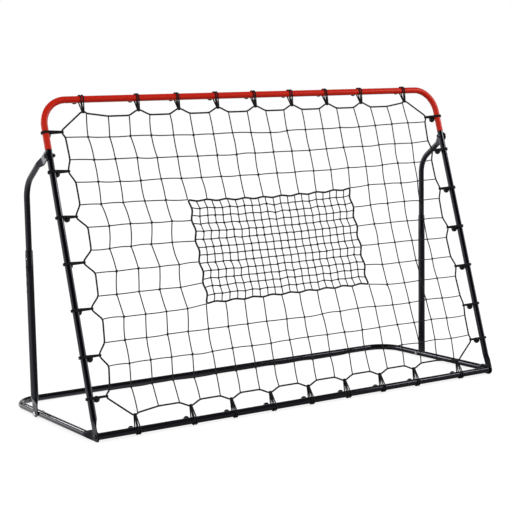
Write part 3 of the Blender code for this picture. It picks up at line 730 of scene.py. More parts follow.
strut = {
    "x": 0.9254,
    "topPlateX": 0.9157,
    "outerR": 0.01415,
    "boreR": 0.0130,
    "innerR": 0.01125,
    "lip": 0.610,  # the lower tube's open end, above the foot's pin
    "lipStart": 0.0012,
    "lipOutside": ((0.0004, 0.0003), (0.0, 0.0008)),  # how far below the lip, and how much less than the tube
    "lipInside": ((0.0, 0.0002), (0.0006, 0.0)),  # how far below the lip, and how much more than the bore
    "plug": 0.030,  # what stays solid between the foot's swell and the bore
    "footHalf": 0.0215,
    "footReach": 0.013,
    "footDrill": 0.010,
    "bend": 55.0,
    "bendR": 0.100,
    "bendSteps": 22,
    "buttonRoom": 0.020,
    "bendRoom": 0.010,
    "topHalf": 0.0178,
    "topReach": 0.012,
    "topHoleR": 0.0072,
    "tail": 0.024,  # how far the upper tube goes on below its button
    "tailEdge": 0.0006,
    "holes": 5,
    "holePitch": 0.0304,
    "firstHole": 0.030,  # below the lip, and the button's own place
    "snapHoleR": 0.0049,
    "snapOut": 0.018,
    "snapDrill": 0.007,
    "buttonR": 0.0042,
    "buttonTop": 0.01245,  # from the tube's axis to the button's crown
    "buttonDome": 0.0012,
    "buttonBack": 0.0029,
    "buttonCrown": 4,
    "buttonSides": 28,
    "buttonClear": 0.0003,
    "buttonOut": 0.0126,
    "buttonDrill": 0.010,
}


def footAndLip(out):
    # the foot's pin on the base, and the lower tube's open end straight above it
    foot = inBase(strut["x"] * out + base["footY"] * yWay)
    return foot, foot + strut["lip"] * zWay


def makeStrutLower(side, sign):
    # the pressed foot, the tube up to its lip, and the bore back down, with a row of button holes
    out, radius, bore = sign * xWay, strut["outerR"], strut["boreR"]
    foot, lip = footAndLip(out)
    floor = foot + (tubes["flat"] + tubes["blend"] + strut["plug"]) * zWay
    pressed = pressedEnd(foot, zWay, out, strut["footHalf"], strut["footReach"], radius, 0.0)
    rows = np.concatenate([
        pressed,
        straight(pressed[-1, centreOf], lip - strut["lipStart"] * zWay, zWay, radius)[1:],
        *[stations(lip - low * zWay, zWay, radius - less) for low, less in strut["lipOutside"]],
        *[stations(lip - low * zWay, zWay, bore + more) for low, more in strut["lipInside"]],
        stations(floor, zWay, bore),
    ])
    lower = coatedTube(rows, out, f"strutLower.{side}", asBuilt, f"lower_{side}", f"strut_lower_{side}")
    drilled(lower, asBuilt, foot, out, tubes["holeR"], strut["footDrill"])
    for k in range(strut["holes"]):
        at = lip - (strut["firstHole"] + k * strut["holePitch"]) * zWay + strut["snapOut"] * out
        drilled(lower, asBuilt, at, out, strut["snapHoleR"], strut["snapDrill"])


def makeStrutUpper(side, sign):
    # the leg in the lower tube, the bend forwards, and the slanting leg to the pressed end at the top bolt,
    # whose place gives the length of both legs
    out, radius = sign * xWay, strut["innerR"]
    lip = footAndLip(out)[1]
    pin = inFrame(strut["topPlateX"] * out + upright["topPinZ"] * zWay) - lip
    turn = np.radians(strut["bend"])
    heading = np.cos(turn) * zWay - np.sin(turn) * yWay
    slanting = (-pin[1] - strut["bendR"] * (1 - np.cos(turn))) / np.sin(turn)
    bendStart = (pin[2] - slanting * np.cos(turn) - strut["bendR"] * np.sin(turn)) * zWay
    button = -strut["firstHole"] * zWay
    shift = strut["x"] - strut["topPlateX"]
    rows = np.concatenate([
        stations(button - strut["tail"] * zWay, zWay, radius - strut["tailEdge"]),
        stations(button - (strut["tail"] - strut["tailEdge"]) * zWay, zWay, radius),
        straight(button - strut["buttonRoom"] * zWay, bendStart - strut["bendRoom"] * zWay, zWay, radius),
        arc(bendStart, zWay, -yWay, strut["bendR"], radius, strut["bend"], strut["bendSteps"]),
        turnedRound(pressedEnd(pin, -heading, out, strut["topHalf"], strut["topReach"], radius, shift)),
    ])
    rows[:, centreOf] += lip
    upper = coatedTube(rows, out, f"strutUpper.{side}", asBuilt, f"upper_{side}", f"strut_upper_{side}")
    buttonHole = lip + button + strut["buttonOut"] * out
    drilled(upper, asBuilt, lip + pin, out, strut["topHoleR"], tubes["drillFlat"])
    drilled(upper, asBuilt, buttonHole, out, strut["buttonR"] + strut["buttonClear"], strut["buttonDrill"])


def makeSnapButton(side, sign):
    # a short pin with a low dome, in the top button hole
    out, rise, radius = sign * xWay, strut["buttonDome"], strut["buttonR"]
    at = footAndLip(out)[1] - strut["firstHole"] * zWay
    dome = domeProfile(strut["buttonTop"] - rise, rise, radius, strut["buttonCrown"])
    Surface().grid(latheGrid(at, out, [*dome, (strut["buttonBack"], radius)], strut["buttonSides"])).piece(
        f"snapButton.{side}", asBuilt, ["zinc"], f"button_{side}", [f"snap_button_{side}"], "zinc"
    )


# Fasteners
bolt = {
    "sides": 48, "discSides": 40, "edge": 0.0003, "middle": 0.3,
    "headR": 0.0079, "headH": 0.0048, "rimH": 0.0014, "crown": 20,
    "socketFlat": 0.0025, "socketDeep": 0.0026, "socketEdge": 0.0001,
    "shankR": 0.0039, "shankIn": 0.001, "hingeDeep": 0.030, "tail": 0.0028,
    "washerR": 0.0119, "washerH": 0.0014,
    "nutFlat": 0.0064, "nutH": 0.0064, "nutEdge": 0.0007, "coneStart": 1.04, "coneSlope": 1.7,
}


def addHead(surface, at, out, seat):
    # a low dome over a straight rim, with a six-sided socket sunk in its crown
    rim, flat = bolt["rimH"], bolt["socketFlat"]
    dome = domeProfile(seat + rim, bolt["headH"] - rim, bolt["headR"], bolt["crown"])
    socketTop = dome[0, 0] + bolt["socketEdge"]
    floor = socketTop - bolt["socketDeep"]
    socket = [(floor, bolt["middle"] * flat), (floor, flat), (socketTop, flat)]

    def shape(turn, height, spread):
        # the socket's rings follow the hexagon, and the dome's stay round
        spread[:len(socket)] *= sixSided(turn, 1.0)
        return spread

    profile = [*socket, *dome[1:], (seat, bolt["headR"])]
    surface.grid(latheGrid(at, out, profile, bolt["sides"], shape))


def addNut(surface, at, out, seat):
    # a six-sided block whose corners are cut back by a cone at both faces
    flat, high, edge = bolt["nutFlat"], bolt["nutH"], bolt["nutEdge"]
    heights = np.array([0, 0, edge, high - edge, high, high])
    shares = np.array([bolt["middle"], 1, 1, 1, 1, bolt["middle"]])

    def shape(turn, height, spread):
        depth = np.minimum(seat - height, height - (seat - high))
        cone = flat * bolt["coneStart"] + depth * bolt["coneSlope"]
        return spread * np.minimum(sixSided(turn, flat), cone) / flat

    profile = np.stack([seat - heights, flat * shares], -1)
    surface.grid(latheGrid(at, out, profile, bolt["sides"], shape))


def addDisc(surface, at, out, low, high, radius):
    # a round block from low to high, with both edges taken off
    edge = bolt["edge"]
    profile = [(low, radius - edge), (low + edge, radius), (high - edge, radius), (high, radius - edge)]
    surface.grid(latheGrid(at, out, profile, bolt["discSides"]))


def addShank(surface, at, out, low, high):
    # the bolt's round bar, from its free end to inside its head
    addDisc(surface, at, out, low, high, bolt["shankR"])


def makeHingeBolt(side, sign):
    # through both pressed ends into the front rail's bore
    out = sign * xWay
    seat = upright["plateX"] + tubes["plateHalf"] + tubes["gap"]
    at = np.zeros(3)
    surface = Surface()
    addHead(surface, at, out, seat)
    addShank(surface, at, out, base["frontHalf"] - bolt["hingeDeep"], seat + bolt["shankIn"])
    surface.piece(f"hingeBolt.{side}", inBase, ["bolt"], "base", [f"hinge_bolt_{side}"], "black_bolt")


def makeFootBolt(side, sign):
    # through the strut's foot and the side rail, with its nut inside the base
    out = sign * xWay
    seat = strut["x"] + tubes["plateHalf"] + tubes["gap"]
    inside = base["sideRailX"] - stand["railR"] - tubes["gap"]
    at = base["footY"] * yWay
    surface = Surface()
    addHead(surface, at, out, seat)
    addShank(surface, at, out, inside - bolt["nutH"] - bolt["tail"], seat + bolt["shankIn"])
    addNut(surface, at, out, inside)
    surface.piece(f"footBolt.{side}", inBase, ["zinc"], "base", [f"foot_bolt_{side}"], "zinc")


def makeTopBolt(side, sign):
    # a washer on the strut's top end, the head on that, and the nut inside the frame
    out = sign * xWay
    seat = strut["topPlateX"] + tubes["plateHalf"] + tubes["gap"]
    inside = stand["sideX"] - stand["sideR"] - tubes["gap"]
    at = upright["topPinZ"] * zWay
    surface = Surface()
    addDisc(surface, at, out, seat, seat + bolt["washerH"], bolt["washerR"])
    addHead(surface, at, out, seat + bolt["washerH"])
    addShank(surface, at, out, inside - bolt["nutH"] - bolt["tail"], seat + 2 * bolt["shankIn"])
    addNut(surface, at, out, inside)
    surface.piece(f"topBolt.{side}", inFrame, ["bolt"], "frame", [f"top_bolt_{side}"], "black_bolt")


for side, sign in sides.items():
    for make in (
        makeFrontRail, makeSideRail, makeRearCorner, makeSideTube, makeTopRail,
        makeStrutLower, makeStrutUpper, makeSnapButton, makeHingeBolt, makeFootBolt, makeTopBolt,
    ):
        make(side, sign)
print("tubes, struts and bolts made")

# The net's border: pulled out to a peak at each tie, and drawn in to a dip at each strand
net = {
    "strands": 18, "rows": 12,
    "gapSide": 0.1722, "gapTop": 0.1386, "gapFoot": 0.1533,  # from the frame's lines to the outermost twines
    "twineR": 0.0022, "twineSides": 6, "steps": 7, "bow": 0.0012,
    "stray": (0.0014, 0.6),  # the size, and the share of it that goes out of the net's plane
    "knotLong": 0.0058, "knotWide": 0.0040,
    "rowSag": 0.014,
    "sagShares": (0.85, 1, 0.5, 0),  # at rows 0 and 2, the target's top row, and two rows below that
    "leftPull": 0.013, "topShare": 0.7, "footShare": 0.6, "rightPull": 0.010, "rightShift": 0.2,
}
border = {
    "peakTop": 0.046, "dipTop": 0.066, "peakFoot": 0.0535, "dipFoot": 0.0710, "peakSide": 0.0640,
    "dipsLeft": (0.074, 0.077, 0.085, 0.086, 0.102, 0.100, 0.101, 0.097, 0.099, 0.091, 0.092, 0.080),
    "dipsRight": (0.072, 0.077, 0.078, 0.077, 0.079, 0.082, 0.083, 0.081, 0.077, 0.073, 0.069, 0.070),
    "cornerDip": 0.35, "cornerTieX": 0.012, "cornerTieZ": 0.0197,
    "peakHalf": 0.006,  # half the width of a peak
}
strandPitch = 2 * (stand["frameHalf"] - net["gapSide"]) / (net["strands"] - 1)
rowPitch = (stand["frameHeight"] - net["gapTop"] - net["gapFoot"]) / (net["rows"] - 1)
strandX = (np.arange(net["strands"]) - (net["strands"] - 1) / 2) * strandPitch
rowZ = stand["frameHeight"] - net["gapTop"] - np.arange(net["rows"]) * rowPitch
# A tie stands at every second gap between two twines, and at both ends of an edge
cornerX, cornerUp = strandX[-1] + border["cornerTieX"], border["cornerTieZ"]
tiesAcross = np.concatenate([[-cornerX], strandX[2:-2:2] + strandPitch / 2, [cornerX]])
tiesUp = np.concatenate([[rowZ[0] + cornerUp], rowZ[1:-1:2] - rowPitch / 2, [rowZ[-1] - cornerUp]])


def edgeRun(ties, strands, peak, dips):
    # places along one edge and how far in each lies: the peak at both sides of each tie, a dip at each strand
    places = np.concatenate([ties - border["peakHalf"], ties + border["peakHalf"], strands])
    insets = np.concatenate([np.full(2 * len(ties), peak), dips])
    order = np.argsort(places)
    return places[order], insets[order]


def levelDips(peak, dip):
    # the same dip at every strand, and a smaller one at both corners
    dips = np.full(net["strands"], dip)
    dips[[0, -1]] = peak + border["cornerDip"] * (dip - peak)
    return dips


def borderRuns():
    # the four edges as (x, z), each inset from its own tube
    half, high = stand["frameHalf"], stand["frameHeight"]
    topPeak, footPeak = border["peakTop"], border["peakFoot"]
    topX, topIn = edgeRun(tiesAcross, strandX, topPeak, levelDips(topPeak, border["dipTop"]))
    footX, footIn = edgeRun(tiesAcross, strandX, footPeak, levelDips(footPeak, border["dipFoot"]))
    leftZ, leftIn = edgeRun(tiesUp, rowZ, border["peakSide"], border["dipsLeft"])
    rightZ, rightIn = edgeRun(tiesUp, rowZ, border["peakSide"], border["dipsRight"])
    return {
        "top": np.stack([topX, high - topIn], 1),
        "foot": np.stack([footX, footIn], 1),
        "left": np.stack([leftIn - half, leftZ], 1),
        "right": np.stack([half - rightIn, rightZ], 1),
    }


# The target replaces the middle cells, from its first strand to its last and from its top row to its foot row
target = {
    "cellsAcross": 9, "cellsUp": 5, "drawIn": 0.010, "scallopSide": 0.013, "scallopTop": 0.007, "hang": 0.009,
    "across": 22, "up": 13, "knotLong": 0.00494, "knotWide": 0.0038,
    "twineR": 0.0023, "twineSides": 5, "steps": 4, "bow": 0.0006, "stray": (0.0007, 0.5),
}
firstStrand = (net["strands"] - 1 - target["cellsAcross"]) // 2
lastStrand = firstStrand + target["cellsAcross"]
topRow = (net["rows"] - 1 - target["cellsUp"]) // 2
footRow = topRow + target["cellsUp"]


def scalloped(cells, reach, depth):
    # places from -reach to reach, at the ends and the middle of each cell, and the depth at each middle
    places = np.linspace(-reach, reach, 2 * cells + 1)
    return places, np.where(np.arange(2 * cells + 1) % 2, depth, 0.0)


def targetRuns():
    # the four edges as (x, z): scalloped between the twines that hold them, and the top hangs as a half wave
    halfWide = (strandX[lastStrand] - strandX[firstStrand]) / 2 - target["drawIn"]
    halfHigh = (rowZ[topRow] - rowZ[footRow]) / 2 - target["drawIn"]
    centre = (rowZ[topRow] + rowZ[footRow]) / 2
    wide, wideIn = scalloped(target["cellsAcross"], halfWide, target["scallopTop"])
    tall, tallIn = scalloped(target["cellsUp"], halfHigh, target["scallopSide"])
    hang = target["hang"] * np.cos(0.5 * np.pi * wide / halfWide)
    return {
        "top": np.stack([wide, centre + halfHigh - hang - wideIn], 1),
        "foot": np.stack([wide, centre - halfHigh + wideIn], 1),
        "left": np.stack([tallIn - halfWide, centre + tall], 1),
        "right": np.stack([halfWide - tallIn, centre + tall], 1),
    }


edges, targetEdges = borderRuns(), targetRuns()


def flatPath(xz):
    # (x, z) in the frame's plane, as points
    return np.stack([xz[:, 0], np.zeros(len(xz)), xz[:, 1]], 1)


def around(runs):
    # one loop clockwise from the top left, each corner once
    path = np.concatenate([runs["top"], runs["right"][::-1], runs["foot"][::-1], runs["left"]])
    gaps = np.linalg.norm(path - np.roll(path, -1, 0), axis=1)
    return flatPath(path[gaps > mergeWithin])


def cordGrid(surface, path, radius, count, loop=False, side=yWay):
    # a circle carried along the path. The radius is one number, or one for each point and corner.
    profile = np.atleast_2d(radius)[..., None] * circle(count)
    surface.grid(carried(path, side, profile, loop), lengthsAlong(path), loop=loop)


borderRope = {
    "radius": 0.0032, "sides": 10, "step": 0.0024, "round": 0.010, "roundSteps": 7,
    "bulge": 0.10, "plies": 3, "pitch": 0.018,
}
targetRope = {
    "radius": 0.0036, "sides": 8, "step": 0.002, "round": 0.012, "roundSteps": 7,
    "bulge": 0.10, "plies": 3, "pitch": 0.014,
}


def makeRope(name, node, runs, rope):
    # the radius swells once for each ply round the rope, and the swelling turns once in a pitch
    loop = roundedLoop(around(runs), rope["round"], rope["roundSteps"], rope["step"])
    turn, run = cornerTurns(rope["sides"]), lengthsAlong(loop)[:, None]
    swell = 1 + rope["bulge"] * np.cos(rope["plies"] * (turn - fullTurn * run / rope["pitch"]))
    surface = Surface()
    cordGrid(surface, loop, rope["radius"] * swell, rope["sides"], loop=True)
    surface.piece(name, inFrame, ["rope"], "frame", [node], "edge_rope", sharpFrom["cord"])


def strayed(points, stray):
    # random steps, with a smaller share of them out of the net's plane
    size, backShare = stray
    return rng.normal(0, size, points.shape) * np.array([1, backShare, 1])


def strandPath(points, bow, steps):
    # straight spans between knots, each with a half sine wave across it that has its own random size
    spans = points[1:] - points[:-1]
    t = np.linspace(0, 1, steps)[None, :, None]
    wave = rng.normal(0, bow, (len(spans), 1, 3)) * np.sin(np.pi * t)
    path = points[:-1, None] + spans[:, None] * t + wave
    return np.concatenate([path[:, :-1].reshape(-1, 3), points[-1:]])


def addTwine(surface, parts, look):
    # one cord through the points of all its parts in turn
    path = strandPath(np.concatenate(parts), look["bow"], look["steps"])
    cordGrid(surface, path, look["twineR"], look["twineSides"])


knot = {"rings": 5, "sides": 6, "end": 0.86, "lean": 42, "leanStray": 0.22, "sizes": (0.85, 1.15)}


def addKnots(surface, places, look):
    # small lumps on the crossings: eggs of few faces that lean to one side, each with its own lean and size
    rise = np.linspace(-knot["end"], knot["end"], knot["rings"])
    turn = np.arange(knot["sides"]) * fullTurn / knot["sides"]
    lean = np.radians(knot["lean"]) + rng.normal(0, knot["leanStray"], len(places))
    way = np.stack([np.sin(lean), np.zeros(len(lean)), np.cos(lean)], -1)
    across = np.cross(way, yWay)
    size = rng.uniform(*knot["sizes"], (len(places), 1, 1, 1))
    ring = np.sqrt(1 - rise**2)[:, None] * look["knotWide"]
    lumps = (
        places[:, None, None]
        + size * (look["knotLong"] * rise)[None, :, None, None] * way[:, None, None]
        + size * (ring * np.cos(turn))[None, ..., None] * across[:, None, None]
        + size * (ring * np.sin(turn))[None, ..., None] * yWay
    )
    for lump in lumps:
        surface.grid(lump)


def settled():
    # how far each knot is from its even place: the upper rows sag most at mid-width, the columns at the left
    # are drawn towards the target at every second row, and those at the right in one long wave
    moved = np.zeros((net["strands"], net["rows"], 3))
    row = np.arange(net["rows"])
    sag = net["rowSag"] * np.interp(row, [0, 2, topRow, topRow + 2], net["sagShares"])
    moved[..., 2] = -sag * np.cos(0.5 * np.pi * strandX[:, None] / stand["frameHalf"])
    drawn = (row >= topRow) & (row <= footRow + 1) & (row % 2 == 0)
    pulled = drawn - net["topShare"] * (row == 0) - net["footShare"] * (row == row[-1])
    moved[:firstStrand, :, 0] = net["leftPull"] * pulled
    moved[lastStrand + 1:, :, 0] = net["rightPull"] * (np.cos(fullTurn * row / row[-1]) - net["rightShift"])
    return moved


def onEdge(edge, axis, value):
    # the edge's own point at a strand or row
    return flatPath(edge[[np.argmin(np.abs(edge[:, axis] - value))]])


def makeMainNet():
    # twines from rope to rope through their knots, cut where the target takes their place
    surface = Surface()
    knots = flatPath(np.stack(np.meshgrid(strandX, rowZ, indexing="ij"), -1).reshape(-1, 2))
    knots = knots.reshape(net["strands"], net["rows"], 3)
    knots = knots + settled() + strayed(knots, net["stray"])
    for k, x in enumerate(strandX):
        roof, floor = onEdge(edges["top"], 0, x), onEdge(edges["foot"], 0, x)
        if firstStrand <= k <= lastStrand:
            n = 2 * (k - firstStrand)
            addTwine(surface, [roof, knots[k, :topRow], flatPath(targetEdges["top"][[n]])], net)
            addTwine(surface, [flatPath(targetEdges["foot"][[n]]), knots[k, footRow + 1:], floor], net)
        else:
            addTwine(surface, [roof, knots[k], floor], net)
    for k, z in enumerate(rowZ):
        left, right = onEdge(edges["left"], 1, z), onEdge(edges["right"], 1, z)
        if topRow <= k <= footRow:
            n = 2 * (footRow - k)
            addTwine(surface, [left, knots[:firstStrand, k], flatPath(targetEdges["left"][[n]])], net)
            addTwine(surface, [flatPath(targetEdges["right"][[n]]), knots[lastStrand + 1:, k], right], net)
        else:
            addTwine(surface, [left, knots[:, k], right], net)
    i, j = np.meshgrid(np.arange(net["strands"]), np.arange(net["rows"]), indexing="ij")
    inTarget = (i >= firstStrand) & (i <= lastStrand) & (j >= topRow) & (j <= footRow)
    addKnots(surface, knots[~inTarget], net)
    surface.piece("mainNet", inFrame, ["twine"], "frame", ["main_net"], "net_twine", sharpFrom["cord"])


def makeTargetNet():
    # the fine mesh: each crossing lies at its share of the way from edge to edge, both across and up
    surface = Surface()
    s = np.linspace(0, 1, target["across"] + 1)[:, None]
    t = np.linspace(0, 1, target["up"] + 1)[None]
    wide = np.linspace(targetEdges["top"][0, 0], targetEdges["top"][-1, 0], target["across"] + 1)
    tall = np.linspace(targetEdges["left"][0, 1], targetEdges["left"][-1, 1], target["up"] + 1)
    left, right = [np.interp(tall, *targetEdges[name].T[::-1])[None] for name in ("left", "right")]
    roof, floor = [np.interp(wide, *targetEdges[name].T)[:, None] for name in ("top", "foot")]
    x = left * (1 - s) + right * s
    z = floor * (1 - t) + roof * t
    grid = np.stack([x, np.zeros_like(x), z], -1)
    grid[1:-1, 1:-1] += strayed(grid[1:-1, 1:-1], target["stray"])
    for k in range(1, target["across"]):
        addTwine(surface, [grid[k]], target)
    for k in range(1, target["up"]):
        addTwine(surface, [grid[:, k]], target)
    addKnots(surface, grid[1:-1, 1:-1].reshape(-1, 3), target)
    surface.piece("targetNet", inFrame, ["twine"], "frame", ["target_net"], "net_twine", sharpFrom["cord"])


makeRope("borderRope", "border_rope", edges, borderRope)
makeRope("targetRope", "target_rope", targetEdges, targetRope)
makeMainNet()
makeTargetNet()
print("nets and ropes made")

# Ball ties. A ball's place is (along the tube, inwards from it, behind its surface).
tie = {
    "cordR": 0.0025, "sides": 10, "clear": 0.0002, "step": 0.0022, "round": 0.006, "roundSteps": 4,
    "overTurn": 76, "overSteps": 15, "hookR": 0.0042, "hookTurn": 70, "hookSteps": 7,
    "spreadRope": 0.0016, "spreadRange": (0.85, 1.25), "slantStray": 0.0010,
    "tailStep": 0.003, "tailBow": 0.001,
    "ballR": 0.0120, "ballStray": (0.0012, 0.0006, 0.0), "ballSides": 28, "ballRings": 20, "ballPole": 3,
    "grooveDeep": 0.018, "grooveWide": 0.035,
}
railTies = {
    "top": {
        "up": stand["frameHeight"], "inwards": -zWay, "tubeR": stand["topR"], "ropeIn": border["peakTop"],
        "spread": 0.0047, "slant": -0.003, "ball": (-0.015, -0.002, 0.0120),
    },
    "foot": {
        "up": 0.0, "inwards": zWay, "tubeR": stand["railR"], "ropeIn": border["peakFoot"],
        "spread": 0.0047, "slant": 0.004, "ball": (-0.014, 0.008, 0.0115),
    },
}
sideTies = {
    "spread": 0.0026, "ballAlong": -0.006, "ballBehind": -0.0020,
    "left": (0.014, 0.021, 0.030, 0.016, 0.018, 0.029, 0.029),  # how far in each ball lies
    "right": (0.016, 0.029, 0.023, 0.018, 0.022, 0.025, 0.026),
}


def loopPath(wrap, ropeIn):
    # one turn of cord across the tube, as (inwards, back): over it, straight to the rope, and round that
    turn = np.radians(np.linspace(-tie["overTurn"], tie["overTurn"], tie["overSteps"]))
    hook = np.radians(np.linspace(tie["hookTurn"], -tie["hookTurn"], tie["hookSteps"]))
    over = wrap * np.stack([-np.cos(turn), np.sin(turn)], -1)
    under = tie["hookR"] * np.stack([np.cos(hook), np.sin(hook)], -1) + [ropeIn, 0]
    return np.concatenate([over, under])


def ballGrid(centre, along):
    # a sphere with a shallow groove round its middle, where the two halves of its mould met
    rise = np.radians(np.linspace(tie["ballPole"], 180 - tie["ballPole"], tie["ballRings"]))
    groove = 1 - tie["grooveDeep"] * np.exp(-((rise - np.pi / 2) / tie["grooveWide"]) ** 2)
    profile = tie["ballR"] * groove[:, None] * np.stack([np.cos(rise), np.sin(rise)], -1)
    return latheGrid(centre, along, profile, tie["ballSides"])


def makeTie(name, node, at, along, kind):
    # two turns of cord side by side on the tube, closer together on the rope, with a ball on their ends
    surface = Surface()
    inwards, tubeR, ropeIn = kind["inwards"], kind["tubeR"], kind["ropeIn"]
    slip, reach, behind = np.array(kind["ball"]) + rng.normal(0, tie["ballStray"], 3)
    spread = kind["spread"] * rng.uniform(*tie["spreadRange"])
    slant = kind["slant"] + rng.normal(0, tie["slantStray"])
    apart = tubeR + tie["ballR"] + tie["clear"]
    behind = max(tubeR + behind, np.sqrt(max(apart**2 - reach**2, 0)))
    centre = at + slip * along + reach * inwards + behind * yWay
    wrap = tubeR + tie["clear"] + tie["cordR"]
    flat = loopPath(wrap, ropeIn)
    share = np.clip(flat[:, :1] / ropeIn, 0, 1)
    left = 1 - np.clip(reach / ropeIn, 0, 1)
    for way in (-1, 1):
        shift = way * (spread + (tie["spreadRope"] - spread) * share) + slant * (1 - share)
        path = at + flat[:, :1] * inwards + flat[:, 1:] * yWay + shift * along
        loop = roundedLoop(path, tie["round"], tie["roundSteps"], tie["step"])
        cordGrid(surface, loop, tie["cordR"], tie["sides"], loop=True, side=along)
        # a short end of cord runs from the loop's back into the ball
        start = at + reach * inwards + wrap * left * yWay + (way * spread + slant) * left * along
        middle = 0.5 * (start + centre) + way * tie["tailBow"] * along
        tail = spaced(np.array([start, middle, centre]), tie["tailStep"])
        cordGrid(surface, tail, tie["cordR"], tie["sides"], side=inwards)
    surface.grid(ballGrid(centre, along), look=1)
    surface.piece(name, inFrame, ["elastic", "ball"], "frame", [node], "elastic_tie", sharpFrom["cord"])


for k, x in enumerate(tiesAcross, start=1):
    for rail, kind in railTies.items():
        makeTie(f"{rail}Tie.{k}", f"{rail}_tie_{k}", x * xWay + kind["up"] * zWay, xWay, kind)
for k, z in enumerate(tiesUp, start=1):
    for side, sign in sides.items():
        kind = {
            "inwards": -sign * xWay, "ropeIn": border["peakSide"],
            "tubeR": stand["topR"] if z > upright["jointZ"] else stand["sideR"],
            "spread": sideTies["spread"], "slant": 0.0,
            "ball": (sideTies["ballAlong"], sideTies[side][k - 1], sideTies["ballBehind"]),
        }
        at = sign * stand["frameHalf"] * xWay + z * zWay
        makeTie(f"{side}Tie.{k}", f"{side}_tie_{k}", at, zWay, kind)
print("ties made")

# Studio
viewpoint = {
    "focal": 1387.7, "pictureWide": 512,  # both in pixels of the picture
    "azimuth": 32.816, "elevation": 7.470, "roll": -1.020,
    "place": (-2.9565, -4.5670, 1.2496),
    "sensorWide": 36, "seesTo": 60,
}
# A light is (way, ramp), and its ramp is (level at its start, level at its end, start, end) along the way
floorLook = {
    "half": 14.0, "height": -0.0006, "roughness": 0.9, "specular": 0.1,
    "tones": ((0.30, 0.30, 0.30), (0.32, 0.32, 0.32)), "grainScale": 3.0,
    "glow": 0.80,
    "mirrored": ((0.6, -0.8, 0.0), (0.75, 0.02, -0.75, -0.1)),
}
room = {
    "light": ((-0.48, -0.74, -0.47), (0.40, 1.62, -0.8, 0.8)),
    "dimFront": ((-0.54, -0.84, 0.0), (1.0, 0.16, -0.1, 0.75)),
    "dimCeiling": ((0.0, 0.0, 1.0), (1.0, 0.15, 0.08, 0.35)),
    "horizon": ((0.0, 0.0, 1.0), (0.0, 1.0, -0.02, 0.04)),
    "rightWall": ((0.97, -0.22, 0.0), (0.0, 1.2, 0.80, 0.90)),
    "leftWall": ((-0.97, 0.24, 0.0), (0.0, 1.0, 0.72, 0.86)),
    "rearWall": ((-0.42, 0.90, -0.02), (0.0, 2.4, 0.93, 0.998)),
}
panels = {
    "rightPanel": {"place": (2.75, -1.85, 2.2), "aim": (0.7, 0.0, 0.0), "wide": 0.95, "tall": 0.36},
    "rearPanel": {"place": (-1.34, 3.1, 1.62), "aim": (-0.92, 0.0, 0.1), "wide": 0.6, "tall": 0.5},
}


def addPlaced(name, data, right, up, back, place):
    # an object whose own x, y and z point along right, up and back
    made = bpy.data.objects.new(name, data)
    bpy.context.scene.collection.objects.link(made)
    matrix = np.eye(4)
    matrix[:3] = np.stack([right, up, back, place], 1)
    made.matrix_world = matrix.T
    return made


def makeCamera():
    # the level view is turned by its azimuth, tipped by its elevation, and rolled about its own line of sight
    azimuth, elevation, roll = np.radians([viewpoint[key] for key in ("azimuth", "elevation", "roll")])
    flat = np.cos(elevation)
    right = np.array([np.cos(azimuth), -np.sin(azimuth), 0])
    ahead = np.array([np.sin(azimuth) * flat, np.cos(azimuth) * flat, -np.sin(elevation)])
    up = np.cross(right, ahead)
    rolledRight = np.cos(roll) * right + np.sin(roll) * up
    rolledUp = np.cos(roll) * up - np.sin(roll) * right
    data = bpy.data.cameras.new("camera")
    data.sensor_fit = "HORIZONTAL"
    data.sensor_width = viewpoint["sensorWide"]
    data.lens = viewpoint["focal"] / viewpoint["pictureWide"] * viewpoint["sensorWide"]
    data.clip_end = viewpoint["seesTo"]
    camera = addPlaced("camera", data, rolledRight, rolledUp, -ahead, viewpoint["place"])
    bpy.context.scene.camera = camera


def rayMasks(tree):
    # 1 for rays from the camera, and 1 for rays that gloss or clear material sends out
    rays = tree.nodes.new("ShaderNodeLightPath")
    mirrored = mathNode(tree, "MAXIMUM", rays.outputs["Is Glossy Ray"], rays.outputs["Is Transmission Ray"])
    return rays.outputs["Is Camera Ray"], mirrored


def rampNode(tree, vector, way, ramp):
    # the ramp over the product of the vector and the way
    node = tree.nodes.new("ShaderNodeVectorMath")
    node.operation = "DOT_PRODUCT"
    wire(tree, vector, node.inputs[0])
    node.inputs[1].default_value = way
    return rangeNode(tree, node.outputs["Value"], *ramp)


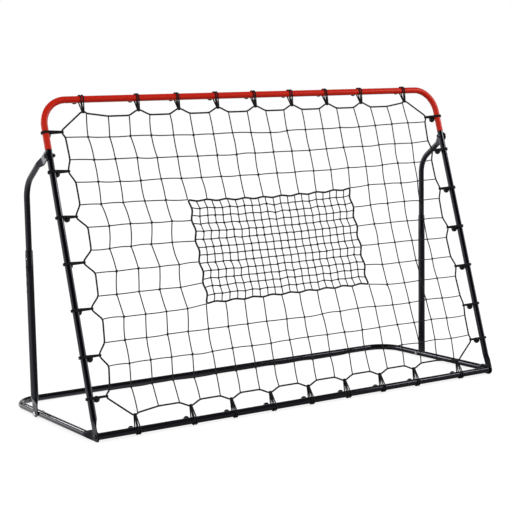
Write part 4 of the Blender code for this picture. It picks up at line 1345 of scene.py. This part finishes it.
def makeFloor():
    # one square that glows for the camera, and for gloss the more, the further back a place is
    half, height = floorLook["half"], floorLook["height"]
    mesh = bpy.data.meshes.new("floor")
    corners = [(x * half, y * half, height) for x, y in ((-1, -1), (1, -1), (1, 1), (-1, 1))]
    mesh.from_pydata(corners, [], [(0, 1, 2, 3)])
    dull = {"Roughness": floorLook["roughness"], "Specular IOR Level": floorLook["specular"]}
    finish, tree, shader = newFinish("paleFloor", {**dull, "Emission Color": white})
    place = coordinates(tree, "Object")
    grain = noiseNode(tree, place, floorLook["grainScale"])
    wire(tree, mixColours(tree, grain, *floorLook["tones"]), shader.inputs["Base Color"])
    seen, mirrored = rayMasks(tree)
    pale = rampNode(tree, place, *floorLook["mirrored"])
    glow = mixLevels(tree, seen, mixLevels(tree, mirrored, 0.0, pale), floorLook["glow"])
    wire(tree, glow, shader.inputs["Emission Strength"])
    mesh.materials.append(finish)
    floor = bpy.data.objects.new("floor", mesh)
    bpy.context.scene.collection.objects.link(floor)


def makeWorld():
    # the camera sees white, gloss finds pale walls behind and at both sides of a dim room, and the light is
    # stronger from low in front, on the left
    world = bpy.context.scene.world or bpy.data.worlds.new("world")
    bpy.context.scene.world = world
    world.use_nodes = True
    tree = world.node_tree
    tree.nodes.clear()
    ray = coordinates(tree, "Generated")
    level = {name: rampNode(tree, ray, *ramp) for name, ramp in room.items()}
    walls = mathNode(tree, "ADD", level["rightWall"], level["leftWall"])
    walls = mathNode(tree, "MULTIPLY", walls, level["horizon"])
    dim = mathNode(tree, "MULTIPLY", level["dimFront"], level["dimCeiling"])
    found = mathNode(tree, "ADD", mathNode(tree, "ADD", dim, level["rearWall"]), walls)
    seen, mirrored = rayMasks(tree)
    strength = mixLevels(tree, seen, mixLevels(tree, mirrored, level["light"], found), 1.0)
    sky = tree.nodes.new("ShaderNodeBackground")
    sky.inputs["Color"].default_value = white
    wire(tree, strength, sky.inputs["Strength"])
    wire(tree, sky.outputs["Background"], tree.nodes.new("ShaderNodeOutputWorld").inputs["Surface"])


def addPanel(name, place, aim, wide, tall, level=15.0):
    # a lamp whose face has the given brightness: its power is brightness times pi times area
    data = bpy.data.lights.new(name, "AREA")
    data.shape = "RECTANGLE"
    data.size, data.size_y = wide, tall
    data.energy = level * np.pi * wide * tall
    back = unit(np.array(place) - np.array(aim))
    right = unit(np.cross(zWay, back))
    lamp = addPlaced(name, data, right, np.cross(back, right), back, place)
    lamp.visible_camera = False


bpy.context.scene.view_settings.view_transform = "Standard"
makeCamera()
makeFloor()
makeWorld()
for name, panel in panels.items():
    addPanel(name, **panel)
print("studio set")
